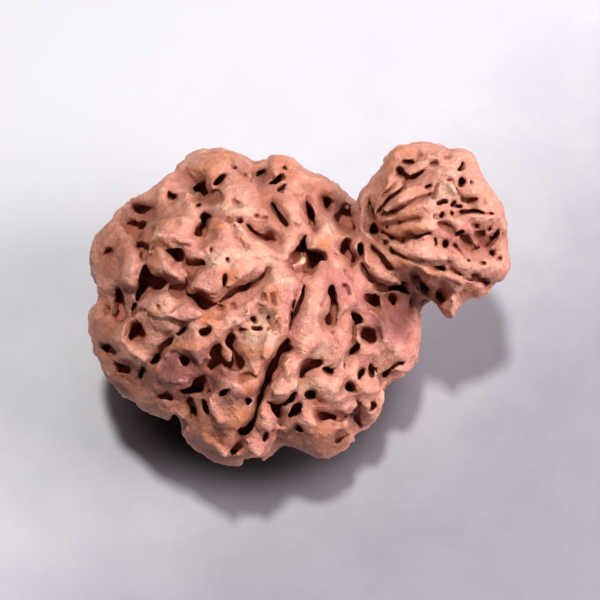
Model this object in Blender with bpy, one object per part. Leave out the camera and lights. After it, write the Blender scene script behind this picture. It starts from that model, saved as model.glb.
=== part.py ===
"""A garbh gauri rudraksha: a large ridged bead with a small one grown onto its upper side.

The bead is one solid. Its plain form is two flattened round bodies that flow together. Lobes, face
valleys, cracks, openings, pits, flakes and folds are carved into that form as a signed distance
field in millimetres, negative inside, and the field is meshed at the end. The marks of the seen
side are laid out by hand on a sight grid. Those of the far side follow a rule in the same style.
"""

import math

import bmesh
import bpy
import numpy as np
import openvdb

for old in list(bpy.data.objects):
    bpy.data.objects.remove(old)

# Driving dimensions, in millimetres
MM = 0.001
LARGE_RADIUS = 13.2
LARGE_HALF_HEIGHT = 10.6
SMALL_RADIUS = 6.2
SMALL_HALF_HEIGHT = 5.7
JOIN_BLEND = 0.9
REST_HEIGHT = 10.4
REST_SNAP = 0.25
GRID_STEP = 0.28
DOMAIN_LOW = np.array((-15.0, -15.0, -12.5))
DOMAIN_HIGH = np.array((22.5, 16.0, 13.0))
MOST_TRIANGLES = 11600
NEAR_SURFACE = 2.0
PINCH_ROUNDS = 12
PINCH_FILL = 0.005

# The sight grid: 600 steps of 0.08 mm, x to the right and y down, square to the line of sight
STEP_SIZE = 0.08
SIGHT_HEIGHT = math.radians(60.0)
EYE_DISTANCE = 160.0
GRID_MIDDLE = (300, 300)
LARGE_MIDDLE = (256, 305)
LARGE_POLE = (305, 260)
SMALL_MIDDLE = (433, 224)
SMALL_POLE = (377, 229)
SMALL_NEARNESS = 1.5
RIGHT = np.array((1.0, 0.0, 0.0))
UP = np.array((0.0, math.sin(SIGHT_HEIGHT), math.cos(SIGHT_HEIGHT)))
NEAR = np.array((0.0, -math.cos(SIGHT_HEIGHT), math.sin(SIGHT_HEIGHT)))

# How sharply the lobes of the outline stand out, and how far they reach round from the rim
OUTLINE_STEPS = 720
OUTLINE_SOFTNESS = math.radians(2.2)
RIM_REACH = 0.46

# Depths of the marks and slopes of the openings' walls, steep on the upper left
CAVERN = 1.8
DEEP = 1.1
MIDDLE = 0.6
SHALLOW = 0.3
STEEP_WALL = 1.5
GENTLE_WALL = 0.9
FUNNEL_DEPTH = 0.3
FUNNEL_REACH = 1.1
WIDE_OPENING = 0.8
DEPTH_SHARE = 0.65
GENTLE_SIDE = np.array((0.7, 0.7))

# Outlines of the two beads on the sight grid, clockwise from the notch between them
LARGE_OUTLINE = (
    (353, 199), (343, 191), (324, 177), (310, 171), (299, 161), (283, 154), (268, 156), (257, 165),
    (249, 161), (242, 151), (226, 147), (210, 149), (195, 152), (183, 162), (170, 178), (160, 185),
    (140, 192), (124, 205), (110, 222), (97, 240), (93, 260), (97, 280), (99, 300), (92, 322),
    (95, 341), (107, 370), (125, 392), (150, 408), (165, 412), (183, 413), (186, 428), (200, 451),
    (220, 461), (245, 462), (267, 455), (281, 441), (293, 442), (318, 457), (345, 449), (358, 440),
    (361, 430), (376, 423), (386, 398), (384, 384), (395, 377), (410, 374), (418, 355), (418, 330),
    (420, 310), (424, 300), (424, 280), (415, 250), (392, 222), (370, 205),
)
SMALL_OUTLINE = (
    (353, 205), (358, 193), (368, 183), (379, 171), (383, 160), (396, 149), (420, 146), (440, 145),
    (450, 151), (461, 150), (471, 157), (475, 170), (482, 188), (496, 202), (502, 217), (503, 245),
    (509, 260), (508, 275), (494, 288), (483, 298), (465, 297), (460, 303), (456, 312), (450, 317),
    (443, 313), (434, 306), (420, 299), (390, 290), (366, 270), (354, 240),
)

# Soft valleys between the faces, as depth and points of x, y, width on the sight grid
VALLEYS = (
    (0.6, (303, 276, 12), (293, 325, 12), (275, 358, 16), (262, 390, 16), (246, 430, 14),
     (240, 446, 8)),
    (0.5, (262, 312, 14), (246, 332, 16), (232, 346, 20), (215, 364, 20), (198, 386, 20),
     (184, 416, 24)),
    (0.5, (262, 280, 14), (238, 291, 16), (208, 304, 18), (186, 297, 16), (150, 282, 20),
     (132, 303, 16), (99, 302, 18)),
    (0.35, (275, 243, 12), (250, 228, 14), (228, 220, 14), (205, 212, 16), (198, 188, 20),
     (178, 172, 20)),
    (0.35, (286, 228, 12), (272, 205, 14), (261, 180, 16), (257, 162, 20)),
    (0.5, (304, 240, 12), (312, 216, 16), (330, 203, 20), (352, 200, 20)),
    (0.5, (362, 288, 14), (378, 308, 14), (388, 330, 14), (391, 350, 14), (386, 386, 20)),
    (0.4, (344, 276, 10), (354, 312, 12), (354, 345, 14), (352, 386, 16), (358, 410, 18),
     (361, 436, 22)),
    (0.4, (331, 272, 10), (332, 318, 14), (324, 366, 20), (308, 396, 20), (297, 415, 20),
     (284, 444, 24)),
    (0.35, (200, 205, 18), (170, 208, 16), (140, 208, 16), (115, 213, 16)),
    (0.35, (176, 290, 16), (176, 335, 16), (160, 352, 16), (142, 372, 16), (128, 392, 20)),
    (0.4, (345, 205, 16), (342, 232, 16), (352, 256, 14), (372, 290, 18), (400, 292, 18),
     (424, 302, 20)),
    (0.3, (233, 230, 8), (236, 249, 8)),
    (0.3, (110, 258, 12), (110, 275, 12)),
    (0.3, (128, 320, 12), (128, 345, 14), (140, 352, 12)),
    (0.3, (236, 305, 14), (222, 318, 14)),
    (0.3, (385, 392, 8), (378, 400, 8), (360, 403, 8)),
    (0.3, (186, 178, 14), (192, 176, 16), (205, 196, 14)),
)

# Broad soft hollows, in the same form
HOLLOWS = (
    (0.7, (345, 212, 28), (350, 245, 26), (370, 288, 34), (400, 300, 34), (425, 312, 30)),
    (0.6, (192, 405, 26), (205, 378, 34), (226, 358, 36), (240, 344, 26)),
    (0.6, (152, 280, 28), (138, 300, 26), (118, 303, 20)),
    (0.4, (204, 186, 22), (203, 210, 20), (206, 238, 18)),
    (0.5, (318, 186, 24), (345, 214, 30)),
    (0.3, (140, 205, 22), (138, 235, 24), (142, 262, 20)),
    (0.3, (138, 333, 30), (158, 352, 22)),
    (0.3, (260, 405, 24), (300, 402, 24)),
    (0.3, (318, 415, 26), (350, 415, 16)),
    (0.35, (300, 372, 26), (326, 366, 20)),
    (0.3, (360, 372, 20), (390, 368, 18)),
    (0.35, (460, 236, 26), (490, 240, 22)),
    (0.3, (358, 322, 20), (368, 336, 24)),
    (0.3, (436, 196, 16), (462, 200, 16)),
    (0.7, (380, 312, 9), (386, 326, 11), (391, 341, 9)),
    (0.7, (402, 321, 8), (407, 331, 10), (410, 340, 8)),
    (0.5, (436, 291, 8), (446, 300, 9)),
    (0.45, (112, 248, 9), (114, 268, 11), (112, 286, 11)),
    (0.3, (100, 258, 9), (102, 276, 9)),
    (0.35, (178, 178, 12), (172, 194, 12), (168, 208, 10)),
)

# Cracks and large holes, as depth and the corners of a closed outline
OPENINGS = (
    (CAVERN, (288, 258), (292, 249), (299, 245), (303, 236), (306, 240), (306, 250), (320, 250),
     (326, 254), (327, 262), (318, 267), (309, 275), (303, 271), (296, 272), (294, 266)),
    (DEEP, (305, 284), (308, 286), (306, 300), (301, 308), (296, 318), (292, 322), (292, 316),
     (298, 305), (302, 296)),
    (CAVERN, (286, 338), (289, 340), (288, 346), (293, 349), (288, 353), (283, 355), (279, 361),
     (276, 368), (272, 374), (271, 381), (270, 388), (266, 393), (264, 400), (263, 406), (258, 413),
     (255, 421), (254, 428), (250, 434), (246, 438), (240, 437), (240, 432), (247, 425), (250, 419),
     (254, 413), (257, 406), (256, 400), (260, 392), (262, 385), (264, 375), (265, 368), (267, 362),
     (272, 357), (276, 352), (281, 344)),
    (CAVERN, (185, 295), (190, 295), (197, 293), (203, 295), (212, 302), (217, 301), (221, 296),
     (226, 291), (232, 289), (240, 286), (246, 283), (251, 279), (253, 286), (250, 289), (240, 293),
     (231, 297), (221, 300), (216, 304), (210, 308), (204, 312), (196, 306), (190, 302),
     (186, 299)),
    (1.8, (199, 217), (204, 213), (213, 215), (208, 219), (207, 227), (203, 237), (197, 238),
     (193, 233), (197, 225)),
    (1.8, (191, 187), (196, 183), (202, 182), (207, 186), (209, 192), (207, 197), (203, 201),
     (200, 198), (198, 194), (193, 193)),
    (DEEP, (213, 184), (217, 178), (222, 174), (227, 175), (224, 182), (219, 187), (215, 188)),
    (0.3, (211, 193), (222, 190), (225, 203), (210, 204), (207, 199)),
    (0.9, (131, 206), (140, 205), (150, 207), (156, 208), (151, 213), (145, 217), (138, 213)),
    (0.9, (124, 224), (132, 222), (144, 222), (147, 226), (142, 233), (139, 240), (133, 240),
     (128, 233)),
    (MIDDLE, (169, 189), (173, 192), (178, 194), (179, 199), (173, 200), (169, 197)),
    (MIDDLE, (136, 243), (143, 240), (149, 246), (148, 255), (145, 263), (140, 259), (142, 251),
     (137, 248)),
    (MIDDLE, (257, 169), (267, 168), (266, 176), (262, 181), (258, 176)),
    (DEEP, (267, 185), (272, 178), (278, 173), (284, 173), (281, 179), (275, 184), (270, 187)),
    (MIDDLE, (274, 191), (279, 186), (285, 184), (287, 187), (282, 192), (277, 194)),
    (DEEP, (268, 201), (273, 202), (277, 206), (282, 211), (285, 216), (287, 222), (289, 226),
     (285, 228), (281, 224), (277, 218), (273, 211)),
    (DEEP, (245, 223), (252, 225), (258, 228), (263, 232), (268, 232), (274, 236), (277, 241),
     (270, 244), (265, 242), (261, 238), (256, 234), (250, 229)),
    (DEEP, (220, 280), (224, 274), (228, 276), (226, 283), (223, 287)),
    (1.7, (163, 253), (170, 249), (178, 248), (184, 252), (185, 257), (181, 262), (176, 263),
     (171, 260), (166, 257)),
    (CAVERN, (142, 265), (147, 263), (150, 271), (153, 275), (158, 277), (163, 276), (168, 279),
     (169, 283), (165, 287), (159, 290), (150, 290), (146, 292), (143, 298), (139, 304), (135, 304),
     (133, 298), (134, 292), (137, 286), (136, 281), (140, 273)),
    (0.6, (183, 257), (190, 259), (203, 262), (203, 267), (195, 273), (190, 278), (186, 286),
     (184, 279), (187, 272), (183, 265)),
    (0.6, (169, 287), (176, 284), (187, 284), (188, 291), (183, 300), (177, 299), (171, 293)),
    (DEEP, (113, 290), (118, 286), (124, 291), (125, 300), (127, 310), (124, 319), (120, 323),
     (113, 322), (117, 313), (118, 300)),
    (MIDDLE, (131, 303), (136, 304), (134, 310), (136, 319), (131, 317), (129, 309)),
    (1.7, (127, 334), (131, 326), (137, 323), (144, 324), (147, 330), (145, 338), (139, 342),
     (132, 342), (127, 341)),
    (MIDDLE, (102, 347), (108, 344), (114, 347), (118, 353), (113, 358), (106, 356)),
    (1.6, (116, 362), (121, 360), (128, 362), (132, 367), (130, 373), (125, 374), (119, 370)),
    (DEEP, (175, 335), (180, 329), (186, 326), (189, 328), (186, 333), (180, 336)),
    (DEEP, (199, 332), (203, 328), (208, 326), (213, 329), (211, 333), (206, 336), (202, 337)),
    (DEEP, (177, 360), (181, 356), (186, 356), (189, 359), (189, 364), (185, 368), (180, 366)),
    (MIDDLE, (177, 335), (172, 343), (166, 350), (160, 358), (157, 352), (163, 343), (168, 336)),
    (1.6, (150, 359), (152, 353), (156, 352), (160, 356), (159, 362), (155, 365), (151, 364)),
    (MIDDLE, (142, 365), (147, 365), (148, 372), (144, 381), (138, 382), (141, 373)),
    (1.6, (156, 399), (160, 393), (165, 389), (170, 391), (176, 397), (174, 401), (165, 402),
     (158, 402)),
    (CAVERN, (189, 383), (193, 379), (199, 376), (205, 375), (207, 380), (207, 386), (203, 392),
     (196, 394), (190, 396), (184, 394), (181, 390), (186, 387)),
    (DEEP, (185, 400), (191, 399), (196, 406), (199, 414), (198, 422), (193, 419), (189, 410)),
    (DEEP, (202, 399), (206, 400), (209, 408), (210, 418), (205, 415), (202, 408)),
    (CAVERN, (204, 369), (207, 363), (211, 359), (207, 356), (208, 351), (212, 346), (217, 343),
     (221, 345), (223, 352), (223, 357), (228, 361), (232, 357), (231, 350), (226, 345), (224, 340),
     (228, 335), (233, 334), (236, 338), (234, 345), (234, 350), (238, 354), (244, 357), (244, 367),
     (240, 370), (234, 371), (228, 367), (222, 365), (218, 369), (213, 372), (209, 369)),
    (DEEP, (221, 397), (221, 391), (226, 386), (231, 388), (229, 394), (226, 398)),
    (DEEP, (243, 399), (247, 396), (252, 399), (251, 403), (247, 406), (244, 403)),
    (1.6, (270, 406), (274, 403), (280, 405), (282, 410), (282, 417), (279, 420), (274, 417),
     (271, 411)),
    (DEEP, (265, 402), (280, 403), (290, 399), (297, 392), (301, 391), (298, 398), (290, 404),
     (281, 407), (267, 407)),
    (DEEP, (292, 404), (298, 401), (305, 402), (304, 408), (298, 412), (293, 415), (288, 416),
     (290, 409)),
    (DEEP, (294, 428), (297, 423), (302, 425), (304, 431), (300, 434), (296, 432)),
    (DEEP, (230, 449), (235, 444), (241, 442), (240, 449), (237, 454), (232, 455)),
    (1.6, (306, 394), (309, 389), (313, 388), (318, 391), (318, 396), (313, 399), (308, 398)),
    (DEEP, (320, 367), (325, 365), (331, 369), (333, 373), (329, 374), (323, 372)),
    (DEEP, (299, 377), (299, 370), (303, 363), (310, 358), (319, 357), (321, 363), (315, 369),
     (309, 374), (304, 379)),
    (1.7, (315, 412), (322, 411), (329, 414), (336, 413), (334, 419), (329, 422), (323, 423),
     (318, 421)),
    (SHALLOW, (334, 412), (344, 410), (352, 414), (348, 418), (338, 421), (332, 420)),
    (0.5, (332, 441), (336, 435), (341, 430), (351, 430), (350, 434), (343, 438), (337, 441)),
    (1.6, (344, 388), (349, 381), (353, 387), (354, 393), (350, 394), (346, 392)),
    (0.45, (356, 400), (361, 403), (361, 410), (359, 418), (360, 429), (356, 424), (351, 417),
     (355, 410)),
    (MIDDLE, (367, 410), (370, 402), (376, 403), (376, 409), (371, 412)),
    (DEEP, (356, 376), (358, 370), (361, 367), (365, 368), (364, 374), (360, 381), (357, 380)),
    (DEEP, (367, 371), (370, 363), (374, 364), (375, 372), (372, 379), (368, 376)),
    (0.6, (381, 377), (383, 371), (388, 366), (394, 361), (403, 360), (405, 363), (396, 366),
     (391, 370), (389, 375), (384, 379)),
    (DEEP, (348, 354), (350, 348), (354, 341), (359, 340), (360, 346), (358, 352), (353, 356)),
    (DEEP, (350, 312), (355, 310), (361, 311), (364, 317), (363, 323), (357, 326), (353, 329),
     (354, 322), (351, 318)),
    (DEEP, (358, 332), (361, 328), (367, 327), (374, 329), (377, 335), (376, 342), (371, 345),
     (366, 342), (361, 338)),
    (DEEP, (328, 290), (332, 282), (336, 290), (338, 300), (339, 312), (337, 318), (338, 324),
     (333, 325), (326, 324), (323, 320), (326, 315), (329, 311), (330, 300)),
    (1.7, (362, 299), (366, 293), (372, 293), (380, 296), (381, 304), (380, 310), (374, 310),
     (368, 306), (363, 303)),
    (DEEP, (374, 283), (380, 286), (390, 286), (400, 284), (409, 287), (410, 293), (400, 292),
     (390, 293), (380, 293), (375, 290)),
    (DEEP, (399, 281), (403, 278), (407, 281), (407, 287), (401, 287)),
    (MIDDLE, (383, 303), (386, 296), (392, 294), (397, 299), (396, 306), (391, 307), (387, 302)),
    (CAVERN, (340, 243), (345, 238), (349, 241), (351, 249), (356, 256), (358, 262), (353, 267),
     (349, 264), (344, 257), (340, 251)),
    (CAVERN, (357, 244), (360, 241), (363, 247), (363, 256), (361, 262), (358, 258), (355, 250)),
    (1.8, (341, 203), (349, 202), (352, 212), (353, 222), (356, 229), (352, 232), (342, 231),
     (337, 224), (335, 215), (340, 210)),
    (DEEP, (320, 197), (326, 195), (331, 201), (331, 208), (326, 212), (322, 207)),
    (1.7, (303, 203), (309, 205), (313, 211), (315, 218), (317, 226), (314, 231), (309, 230),
     (307, 220), (305, 212)),
    (1.6, (371, 221), (376, 223), (380, 227), (381, 233), (376, 237), (371, 235), (369, 229)),
    (DEEP, (393, 168), (400, 168), (404, 172), (411, 176), (416, 175), (422, 171), (429, 168),
     (425, 174), (418, 180), (411, 183), (404, 179), (397, 174)),
    (MIDDLE, (399, 163), (402, 158), (410, 158), (414, 162), (408, 165), (402, 164)),
    (0.5, (369, 199), (372, 206), (375, 214), (374, 222), (369, 216), (367, 208)),
    (MIDDLE, (360, 261), (366, 267), (372, 274), (379, 280), (387, 284), (380, 286), (371, 281),
     (363, 273)),
    (0.9, (411, 274), (416, 272), (421, 276), (425, 284), (429, 288), (430, 292), (425, 294),
     (419, 289), (414, 281)),
    (DEEP, (471, 272), (476, 270), (481, 275), (486, 277), (490, 279), (485, 282), (478, 281),
     (473, 276)),
    (MIDDLE, (465, 277), (474, 276), (475, 280), (468, 281)),
    (DEEP, (434, 266), (440, 264), (444, 268), (444, 272), (439, 271)),
    (SHALLOW, (444, 262), (450, 265), (458, 271), (465, 277), (457, 276), (448, 270)),
    (DEEP, (441, 243), (444, 239), (450, 239), (452, 244), (447, 249), (442, 248)),
    (DEEP, (452, 232), (456, 228), (461, 227), (463, 230), (458, 234), (454, 235)),
    (MIDDLE, (456, 235), (464, 233), (470, 238), (474, 243), (479, 245), (478, 250), (470, 251),
     (463, 245)),
    (0.9, (473, 233), (478, 230), (485, 229), (485, 234), (489, 236), (493, 230), (498, 228),
     (500, 232), (497, 238), (491, 242), (487, 247), (479, 246), (478, 240)),
    (MIDDLE, (435, 205), (439, 202), (447, 200), (446, 204), (440, 207)),
    (MIDDLE, (448, 205), (452, 200), (458, 198), (457, 203), (452, 207)),
    (MIDDLE, (460, 195), (466, 195), (472, 196), (479, 200), (473, 203), (467, 201), (461, 200)),
    (DEEP, (458, 184), (461, 177), (465, 177), (467, 183), (463, 188), (459, 187)),
    (MIDDLE, (456, 171), (461, 166), (467, 165), (464, 170), (460, 173)),
    (SHALLOW, (434, 220), (444, 221), (451, 226), (454, 233), (446, 232), (437, 226)),
    (0.7, (434, 293), (438, 288), (444, 287), (448, 292), (447, 299), (441, 303), (435, 299)),
)

# Thin cracks, as depth and points of x, y, width
SLITS = (
    (CAVERN, (303, 272, 3), (300, 284, 2.5), (296, 293, 2.5), (293, 303, 2.5), (291, 314, 2.5),
     (290, 326, 2.5), (287, 340, 4)),
    (SHALLOW, (226, 221, 5), (236, 222, 4), (247, 225, 4)),
    (DEEP, (237, 169, 4), (243, 175, 3.5), (249, 182, 4), (252, 186, 4)),
    (SHALLOW, (226, 154, 5), (231, 160, 5), (236, 168, 4)),
    (DEEP, (350, 393, 2.5), (357, 400, 2.5)),
    (SHALLOW, (330, 249, 3), (335, 259, 3)),
    (SHALLOW, (253, 285, 6), (262, 276, 6), (268, 268, 6)),
    (MIDDLE, (342, 287, 4), (347, 295, 4)),
    (SHALLOW, (344, 273, 3), (351, 281, 3), (353, 291, 3)),
    (SHALLOW, (413, 258, 4), (431, 261, 5)),
    (MIDDLE, (443, 186, 3), (448, 184, 4), (456, 190, 3), (461, 196, 3)),
    (SHALLOW, (437, 189, 5), (433, 199, 5)),
    (MIDDLE, (489, 220, 4), (488, 229, 4)),
    (MIDDLE, (457, 245, 4), (461, 253, 4), (467, 259, 4)),
    (SHALLOW, (463, 184, 5), (473, 184, 5)),
    (SHALLOW, (410, 299, 5), (411, 316, 6)),
    (SHALLOW, (240, 377, 7), (252, 375, 7)),
    (MIDDLE, (353, 326, 4), (354, 340, 5)),
    (MIDDLE, (304, 236, 4), (303, 245, 6)),
    (MIDDLE, (203, 264, 6), (188, 262, 6)),
    (1.2, (382, 210, 5), (389, 200, 4.5), (398, 191, 4.5), (408, 182, 4.5)),
    (0.9, (385, 214, 5), (393, 212, 5.5), (401, 207, 5)),
    (0.45, (401, 207, 5), (413, 201, 5), (428, 196, 4)),
    (0.6, (388, 226, 4), (400, 223, 5), (419, 219, 5)),
    (1.0, (384, 233, 4), (392, 239, 5), (402, 240, 5.5), (414, 238, 5), (430, 234, 4.5)),
    (1.0, (387, 244, 5), (394, 251, 6), (404, 256, 4.5)),
    (0.35, (404, 256, 5), (418, 259, 5), (432, 262, 4)),
    (0.9, (371, 249, 5), (378, 259, 8), (389, 267, 6)),
    (CAVERN, (433, 216, 5), (442, 215.5, 5), (452, 214.5, 5), (462, 212.5, 5), (472, 211, 4.5),
     (483, 212, 4), (494, 212, 3.5)),
    (0.3, (384, 195, 4), (396, 183, 4)),
)

# Small pits, as depth, x, y, width and height
PITS = (
    (MIDDLE, 109, 252, 8, 8), (DEEP, 200, 208, 6, 6), (SHALLOW, 236, 203, 10, 6),
    (SHALLOW, 246, 213, 6, 4), (SHALLOW, 256, 216, 5, 4), (SHALLOW, 263, 219, 5, 4),
    (SHALLOW, 276, 226, 9, 5), (SHALLOW, 286, 167, 5, 5), (MIDDLE, 211, 254, 3, 5),
    (MIDDLE, 226, 260, 4, 5), (SHALLOW, 241, 242, 3, 3), (SHALLOW, 245, 245, 3, 3),
    (MIDDLE, 108, 310, 9, 9), (SHALLOW, 157, 306, 4, 4), (SHALLOW, 180, 375, 8, 6),
    (MIDDLE, 209, 390, 4, 6), (SHALLOW, 263, 296, 6, 7), (SHALLOW, 273, 298, 6, 11),
    (SHALLOW, 235, 305, 5, 7), (SHALLOW, 222, 306, 9, 7), (DEEP, 253, 320, 7, 6),
    (MIDDLE, 243, 331, 7, 6), (DEEP, 256, 329, 9, 6), (MIDDLE, 269, 320, 3, 7),
    (MIDDLE, 250, 327, 4, 4), (MIDDLE, 261, 311, 3, 5), (SHALLOW, 268, 327, 5, 4),
    (SHALLOW, 245, 338, 5, 4), (DEEP, 265, 439, 6, 9), (MIDDLE, 272, 434, 7, 5),
    (SHALLOW, 344, 365, 5, 5), (SHALLOW, 421, 156, 8, 5), (SHALLOW, 445, 158, 5, 4),
    (SHALLOW, 434, 165, 5, 5), (MIDDLE, 427, 187, 6, 5), (MIDDLE, 459, 206, 6, 4),
    (SHALLOW, 484, 203, 5, 6), (MIDDLE, 475, 226, 7, 5), (MIDDLE, 434, 243, 3, 6),
    (DEEP, 490, 252, 7, 5), (MIDDLE, 498, 257, 5, 4), (MIDDLE, 481, 260, 5, 4),
    (SHALLOW, 418, 200, 9, 3), (SHALLOW, 297, 195, 5, 4), (SHALLOW, 330, 332, 3, 3),
    (SHALLOW, 322, 305, 3, 3),
)

# Flat flakes of shell, as height and the corners of a closed outline
PLATE_WALL = 2.5
PLATE_BLEND = 0.35
PLATE_FOOT_BLEND = 0.1
PLATES = (
    (0.3, (204, 238), (208, 222), (210, 218), (217, 218), (226, 222), (238, 224), (247, 227),
     (255, 235), (265, 243), (278, 249), (290, 252), (289, 260), (268, 257), (240, 262), (222, 266),
     (208, 262), (203, 250)),
    (0.35, (147, 292), (158, 290), (166, 288), (172, 298), (184, 300), (196, 305), (204, 312),
     (198, 319), (184, 323), (170, 318), (158, 319), (145, 312), (136, 308), (142, 299)),
    (0.3, (187, 284), (191, 278), (204, 269), (225, 262), (250, 258), (262, 260), (250, 278),
     (238, 286), (228, 289), (224, 286), (214, 300), (204, 295), (190, 293)),
    (0.3, (257, 290), (275, 283), (290, 278), (300, 275), (294, 296), (290, 316), (287, 337),
     (276, 350), (266, 362), (258, 352), (268, 330), (276, 312), (268, 300)),
    (0.25, (211, 372), (222, 374), (238, 380), (243, 392), (256, 398), (255, 408), (246, 424),
     (238, 432), (226, 430), (214, 414), (210, 396)),
    (0.25, (268, 395), (274, 376), (286, 358), (297, 354), (298, 370), (296, 388), (286, 400),
     (272, 401)),
)

# Raised folds and the dry end of the stem, as height and points of x, y, width
FOLDS = (
    (0.5, (385, 220, 6), (398, 216, 9), (412, 212, 11), (427, 210, 11)),
    (0.5, (384, 230, 5), (398, 232, 9), (413, 228, 11), (430, 227, 10)),
    (0.45, (390, 243, 5), (403, 248, 10), (422, 251, 13), (442, 256, 12)),
    (0.35, (370, 190, 5), (362, 205, 7), (361, 222, 8), (368, 237, 9), (381, 250, 9), (394, 263, 9),
     (408, 262, 8)),
    (0.4, (362, 248, 6), (367, 262, 8), (377, 273, 9), (390, 281, 9), (400, 283, 7)),
    (0.4, (376, 214, 6), (382, 199, 9), (391, 184, 10), (397, 166, 9)),
    (0.3, (382, 205, 4), (391, 194, 5), (402, 182, 6)),
    (0.4, (389, 207, 5), (401, 197, 9), (417, 187, 13), (436, 177, 13)),
    (0.4, (408, 262, 8), (425, 268, 8), (445, 276, 8), (462, 281, 7)),
    (0.35, (448, 190, 8), (453, 194, 8)),
    (0.35, (476, 284, 8), (484, 287, 8)),
    (0.4, (412, 284, 6), (420, 294, 7), (430, 300, 6)),
    (0.7, (453, 300, 8), (451, 312, 6)),
    (0.35, (151, 264, 8), (151, 250, 9), (158, 240, 10), (172, 239, 10), (186, 244, 8)),
    (0.3, (166, 264, 9), (174, 272, 10), (179, 278, 8)),
    (0.35, (160, 372, 10), (160, 360, 10), (167, 349, 10), (180, 345, 10), (194, 350, 10),
     (198, 362, 10)),
    (0.35, (166, 376, 10), (175, 384, 10), (186, 381, 8)),
    (0.35, (126, 325, 8), (122, 338, 8), (131, 350, 9), (143, 356, 9)),
    (0.4, (200, 418, 6), (204, 432, 7), (213, 444, 8), (224, 452, 8)),
    (0.35, (212, 392, 6), (214, 408, 8), (222, 422, 8)),
    (0.35, (356, 330, 5), (362, 326, 5), (372, 326, 5), (379, 334, 6), (378, 344, 6)),
    (0.35, (364, 306, 7), (374, 314, 8), (380, 326, 8), (384, 340, 8)),
    (0.3, (392, 368, 8), (402, 368, 9), (412, 364, 8)),
    (0.35, (322, 432, 12), (338, 425, 8)),
    (0.3, (247, 440, 12), (258, 448, 12)),
    (0.3, (262, 412, 8), (264, 424, 9), (284, 428, 9)),
    (0.3, (224, 345, 4), (227, 354, 5)),
    (0.3, (126, 290, 4), (128, 305, 4), (124, 322, 5)),
)
STUB = ((0.45, (295, 266, 4), (299, 263, 5), (302, 260, 7)),)

# The far side: grooves towards the far pole, pits, and furrows that wind between them
FAR_SEED = 7
FAR_PITS = 400
FAR_GROOVE_DEPTH = 0.9
FAR_GROOVE_WIDTH = 1.5
FAR_PIT_FACING = -0.15
LARGE_GROOVE_GAP = math.radians(7)
SMALL_GROOVE_TURNS = (-0.95, -0.32, 0.32, 0.95)
SMALL_GROOVE_START = math.radians(24)
GROOVE_SWAY = 0.05
GROOVE_END = math.radians(-78)
PIT_HALF_WIDTHS = (0.32, 0.62)
PIT_RUNS = (0.1, 0.5, 1.1)
PIT_DEPTHS = (0.7, 1.5)
PIT_SCATTER = 0.045
FURROW_DEPTH = 0.4
FURROW_SPREAD = 0.3
FURROW_SIZE = 1.3

# Lumps and ridges all over the skin, as height, size and seed
LUMPS = (0.12, 1.6, 11)
RIDGES = (0.07, 0.85, 12)
RIDGE_LEVEL = 0.8

# A slight wander of all marks, and how softly each kind meets the skin round it
WARP_REACH = 0.06
WARP_SIZE = 0.6
HOLLOW_BLEND = 1.2
VALLEY_BLEND = 0.7
FOLD_BLEND = 0.25
PIT_BLEND = 0.2
PIT_DIP_BLEND = 0.4
PIT_DIP_WIDTH = 6
PIT_DIP_SHARE = 0.15
SMALLEST_PIT = 6
SLIT_BLEND = 0.14
STUB_BLEND = 0.15
FLOOR_BLEND = 0.12

# The grid that holds the field
grid_shape = tuple(np.ceil((DOMAIN_HIGH - DOMAIN_LOW) / GRID_STEP).astype(int))
grid_lines = [DOMAIN_LOW[axis] + GRID_STEP * np.arange(grid_shape[axis]) for axis in range(3)]


def unit(vectors):
    return vectors / np.maximum(np.linalg.norm(vectors, axis=-1, keepdims=True), 1e-9)


def smooth_min(first, second, blend):
    share = np.clip(0.5 + 0.5 * (second - first) / blend, 0, 1)
    return second + (first - second) * share - blend * share * (1 - share)


def smooth_max(first, second, blend):
    return -smooth_min(-first, -second, blend)


def on_sight_plane(x, y):
    """The place of a step of the sight grid, on the plane through the large bead's middle."""
    right = (np.asarray(x, float) - LARGE_MIDDLE[0]) * STEP_SIZE
    up = (LARGE_MIDDLE[1] - np.asarray(y, float)) * STEP_SIZE
    return right[..., None] * RIGHT + up[..., None] * UP


EYE = on_sight_plane(*GRID_MIDDLE) + EYE_DISTANCE * NEAR


def to_sight_grid(points):
    """The steps of the sight grid at which the eye sees these points."""
    ray = points - EYE
    reach = EYE_DISTANCE / -(ray @ NEAR)
    seen = EYE + ray * reach[..., None]
    return LARGE_MIDDLE[0] + (seen @ RIGHT) / STEP_SIZE, LARGE_MIDDLE[1] - (seen @ UP) / STEP_SIZE


def pole_axis(pole, middle, reach):
    """The axis of a bead whose pole is seen at this step, at this reach from its middle."""
    right = (pole[0] - middle[0]) * STEP_SIZE
    up = (middle[1] - pole[1]) * STEP_SIZE
    near = math.sqrt(reach**2 - right**2 - up**2)
    return (right * RIGHT + up * UP + near * NEAR) / reach


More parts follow.
